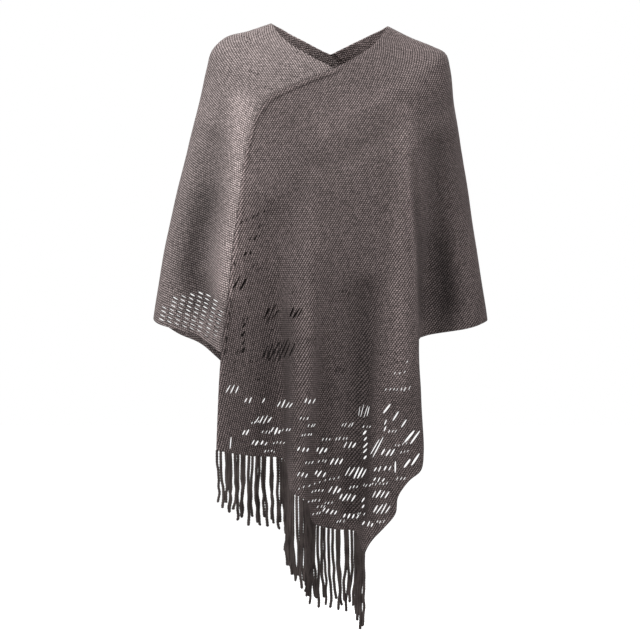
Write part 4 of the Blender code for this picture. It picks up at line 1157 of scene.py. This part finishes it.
class PonchoSizes(bpy.types.PropertyGroup):
    """Sizes that a user would change."""

    wall: bpy.props.FloatProperty(
        name="Cloth thickness", description="One layer of the knitted cloth",
        default=0.0024, unit="LENGTH")
    lap: bpy.props.FloatProperty(
        name="Lap height", description="How far the upper panel stands out at a seam",
        default=0.0024, unit="LENGTH")
    stitch: bpy.props.FloatProperty(
        name="Stitch pitch", description="From one stitch to the next like it",
        default=0.0037, unit="LENGTH")
    strand: bpy.props.FloatProperty(
        name="Strand radius", description="Radius of a strand of the fringe",
        default=0.0024, unit="LENGTH")


class PonchoColours(bpy.types.PropertyGroup):
    """Colours of the yarns, with the gaps' painted shade and the left panel's painted light."""

    right_light: bpy.props.FloatVectorProperty(
        name="Right panel, stitches", description="Colour on top of the stitches", subtype="COLOR", size=4,
        default=(0.272, 0.218, 0.214, 1.0))
    # The gaps' colours are near black: painted shade between the stitches.
    right_dark: bpy.props.FloatVectorProperty(
        name="Right panel, gaps", description="Colour between the stitches", subtype="COLOR", size=4,
        default=(0.016, 0.012, 0.011, 1.0))
    # The left panel is the same yarn, but its colours are lighter: partly the knit's own lie, and partly
    # painted light where the left flank takes the lamps.
    left_light: bpy.props.FloatVectorProperty(
        name="Left panel, stitches", description="Colour on top of the stitches", subtype="COLOR", size=4,
        default=(0.420, 0.350, 0.342, 1.0))
    left_dark: bpy.props.FloatVectorProperty(
        name="Left panel, gaps", description="Colour between the stitches", subtype="COLOR", size=4,
        default=(0.052, 0.041, 0.039, 1.0))
    yarn_light: bpy.props.FloatVectorProperty(
        name="Fringe, fibres", description="Colour of the strands' fibres", subtype="COLOR", size=4,
        default=(0.110, 0.088, 0.084, 1.0))
    yarn_dark: bpy.props.FloatVectorProperty(
        name="Fringe, between fibres", description="Colour between the plies", subtype="COLOR", size=4,
        default=(0.018, 0.014, 0.013, 1.0))


class PONCHO_OT_right_panel(bpy.types.Operator):
    """Makes the right panel: the wrapped front, the right shoulder and part of the back"""

    bl_idname = "poncho.right_panel"
    bl_label = "Right panel"

    def execute(self, context):
        sizes, colours = context.scene.poncho_sizes, context.scene.poncho_colours
        chart, across, along = right_panel_chart()
        grid = surface(chart[..., 0], chart[..., 1])
        from_inner, down_way = way_along(grid, 1), way_along(grid, 0)
        way = down_way[:, 0]
        seam_start, seam_end = way[ROWS_FREE - 1], way[ROWS_FREE + ROWS_SEAM - 2]
        lift = lap(from_inner, way, seam_start, seam_end, sizes.lap / MM)
        from_last = down_way[-1:] - down_way
        lift -= under_drop(from_last)
        at_seam = np.where(way < seam_end + SEAM_MARGIN, from_inner.T, FAR_OFF).T
        maps = {
            CLOTH_UV: cloth_places(grid, across, along, RIGHT_WALES),
            SEAM_UV: seam_places(at_seam, way[:, None], from_last, seam_end + 0 * from_inner),
        }
        finish = knit_finish(
            "right_panel_knit", colours.right_dark, colours.right_light, sizes.stitch, RIGHT_FOOT_TONE,
            seam_end * MM)
        wall = sizes.wall / MM
        panel = link(panel_mesh("knit_right_panel", chart, lift, 1, maps, finish, wall, RIGHT_INSIDE_PAINTED_SHADING))
        slits = spray_slits(SPRAYS) + spray_slits(SMALL_SPRAYS) + ladder_slits()
        cut(panel, cutter("openwork", slits))
        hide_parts("right_panel")
        return {"FINISHED"}


class PONCHO_OT_left_panel(bpy.types.Operator):
    """Makes the left panel: the left shoulder, its sleeve with the lattice and most of the back"""

    bl_idname = "poncho.left_panel"
    bl_label = "Left panel"

    def execute(self, context):
        sizes, colours = context.scene.poncho_sizes, context.scene.poncho_colours
        chart, across, along = left_panel_chart()
        grid = surface(chart[..., 0], chart[..., 1])
        from_inner, down_way = way_along(grid, 1), way_along(grid, 0)
        way = down_way[:, 0]
        seam_start, seam_end = way[ROWS_NECK - 1], way[-1]
        lift = lap(from_inner, way, seam_start, seam_end, sizes.lap / MM)
        lift -= under_drop(down_way)
        at_seam = np.where(way > seam_start - SEAM_MARGIN, from_inner.T, FAR_OFF).T
        maps = {
            CLOTH_UV: cloth_places(grid, across, along, LEFT_WALES),
            SEAM_UV: seam_places(at_seam, way[:, None], down_way, seam_start + from_inner),
        }
        finish = knit_finish(
            "left_panel_knit", colours.left_dark, colours.left_light, sizes.stitch, LEFT_FOOT_TONE,
            seam_start * MM)
        wall = sizes.wall / MM
        panel = link(panel_mesh("knit_left_panel", chart, lift, -1, maps, finish, wall, LEFT_INSIDE_PAINTED_SHADING))
        slits = lattice_slits()
        cut(
            panel,
            cutter("lattice_front", slits + spray_slits(SLEEVE_DOTS), uneven=LATTICE_UNEVEN),
            cutter("lattice_back", slits, behind=True, uneven=LATTICE_UNEVEN),
            cutter("shoulder_dots", spray_slits(SHOULDER_DOTS), deep=SHOULDER_CUTTER_DEPTH))
        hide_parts("left_panel")
        return {"FINISHED"}


class PONCHO_OT_fringe(bpy.types.Operator):
    """Makes the fringe: strands of twisted yarn along the right panel's end"""

    bl_idname = "poncho.fringe"
    bl_label = "Fringe"

    def execute(self, context):
        sizes, colours = context.scene.poncho_sizes, context.scene.poncho_colours
        root, along, out = fringe_roots()
        strand = np.arange(STRANDS)
        change, step = LENGTH_CHANGE
        length = np.interp((strand + ROOT_PLACE) / STRANDS, STRAND_PLACES, STRAND_LENGTHS)
        length = STRAND_TOP + length * (1 + change * np.sin(step * strand))
        finish = yarn_finish("fringe_yarn", colours.yarn_dark, colours.yarn_light)
        fringe = link(strand_mesh("yarn_fringe", root, along, out, length, sizes.strand / MM, finish))
        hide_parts("fringe")
        return {"FINISHED"}


class PONCHO_OT_sheets(bpy.types.Operator):
    """Takes no step: it leaves the scene as it is."""

    bl_idname = "poncho.sheets"
    bl_label = "Flat cuts"

    def execute(self, context):
        return {"FINISHED"}


class PONCHO_OT_stage(bpy.types.Operator):
    """Makes the floor, the lights and the camera"""

    bl_idname = "poncho.stage"
    bl_label = "Studio"

    def execute(self, context):
        scene = context.scene
        floor_mesh = bpy.data.meshes.new("floor")
        square = ((-1, -1), (1, -1), (1, 1), (-1, 1))
        corners = [(x * FLOOR_REACH, y * FLOOR_REACH, FLOOR_LEVEL) for x, y in square]
        floor_mesh.from_pydata(corners, [], [(0, 1, 2, 3)])
        floor = bpy.data.objects.new("floor", floor_mesh)
        finish = Finish("floor_paper")
        for key, value in {
            "Base Color": (0.5, 0.5, 0.5, 1), "Roughness": 1.0, "Specular IOR Level": 0.0,
            "Emission Color": (1, 1, 1, 1), "Emission Strength": FLOOR_GLOW,
        }.items():
            finish.shader.inputs[key].default_value = value
        floor.visible_diffuse = floor.visible_glossy = False
        floor_mesh.materials.append(finish.material)
        scene.collection.objects.link(floor)
        world = bpy.data.worlds.new("studio")
        world.use_nodes = True
        # The white backdrop looks brighter to the camera than the light that it gives.
        nodes = world.node_tree.nodes
        nodes["Background"].inputs["Color"].default_value = (1, 1, 1, 1)
        ray = nodes.new("ShaderNodeLightPath").outputs["Is Camera Ray"]
        strength = nodes.new("ShaderNodeMapRange")
        strength.inputs["To Min"].default_value = BACKDROP_LIGHT
        world.node_tree.links.new(ray, strength.inputs["Value"])
        world.node_tree.links.new(strength.outputs[0], nodes["Background"].inputs["Strength"])
        scene.world = world
        for name, (place, power) in LAMPS.items():
            light = bpy.data.lights.new(name, "AREA")
            light.size, light.energy = LAMP_SIZE, power
            lamp = bpy.data.objects.new(name, light)
            lamp.location = place
            aim = Vector(LAMP_AIM) - lamp.location
            lamp.rotation_euler = aim.to_track_quat("-Z", "Y").to_euler()
            scene.collection.objects.link(lamp)
        camera = bpy.data.cameras.new("camera")
        camera.sensor_width = SENSOR_WIDE
        camera.lens = SENSOR_WIDE * CAMERA_AWAY / (FRAME_PIXELS * PIXEL * MM)
        camera.clip_end = 100.0
        eye = bpy.data.objects.new("camera", camera)
        middle, (across, down) = FRAME_PIXELS / 2, ORIGIN_PIXEL
        eye.location = ((middle - across) * PIXEL * MM, -CAMERA_AWAY, (down - middle) * PIXEL * MM)
        eye.rotation_euler = (np.pi / 2, 0, 0)
        scene.collection.objects.link(eye)
        scene.camera = eye
        scene.view_settings.view_transform = "Standard"
        return {"FINISHED"}


STEPS = (
    PONCHO_OT_right_panel, PONCHO_OT_left_panel, PONCHO_OT_fringe, PONCHO_OT_sheets, PONCHO_OT_stage,
)


class PONCHO_PT_pieces(bpy.types.Panel):
    """Lists the pieces, their sizes and their colours"""

    bl_label = "Poncho"
    bl_idname = "PONCHO_PT_pieces"
    bl_space_type = "VIEW_3D"
    bl_region_type = "UI"
    bl_category = "Poncho"

    def draw(self, context):
        for group in (context.scene.poncho_sizes, context.scene.poncho_colours):
            for key in group.bl_rna.properties.keys():
                if key not in ("rna_type", "name"):
                    self.layout.prop(group, key)
        for step in STEPS:
            self.layout.operator(step.bl_idname)


CLASSES = (PonchoSizes, PonchoColours, *STEPS, PONCHO_PT_pieces)


def register():
    """Registers the classes and the settings."""
    for cls in CLASSES:
        bpy.utils.register_class(cls)
    bpy.types.Scene.poncho_sizes = bpy.props.PointerProperty(type=PonchoSizes)
    bpy.types.Scene.poncho_colours = bpy.props.PointerProperty(type=PonchoColours)


def unregister():
    """Takes the settings and the classes away again."""
    del bpy.types.Scene.poncho_sizes, bpy.types.Scene.poncho_colours
    for cls in reversed(CLASSES):
        bpy.utils.unregister_class(cls)


def main():
    """Makes every piece in order."""
    register()
    bpy.ops.poncho.right_panel()
    bpy.ops.poncho.left_panel()
    bpy.ops.poncho.fringe()
    bpy.ops.poncho.sheets()
    bpy.ops.poncho.stage()


if __name__ == "__main__":
    main()
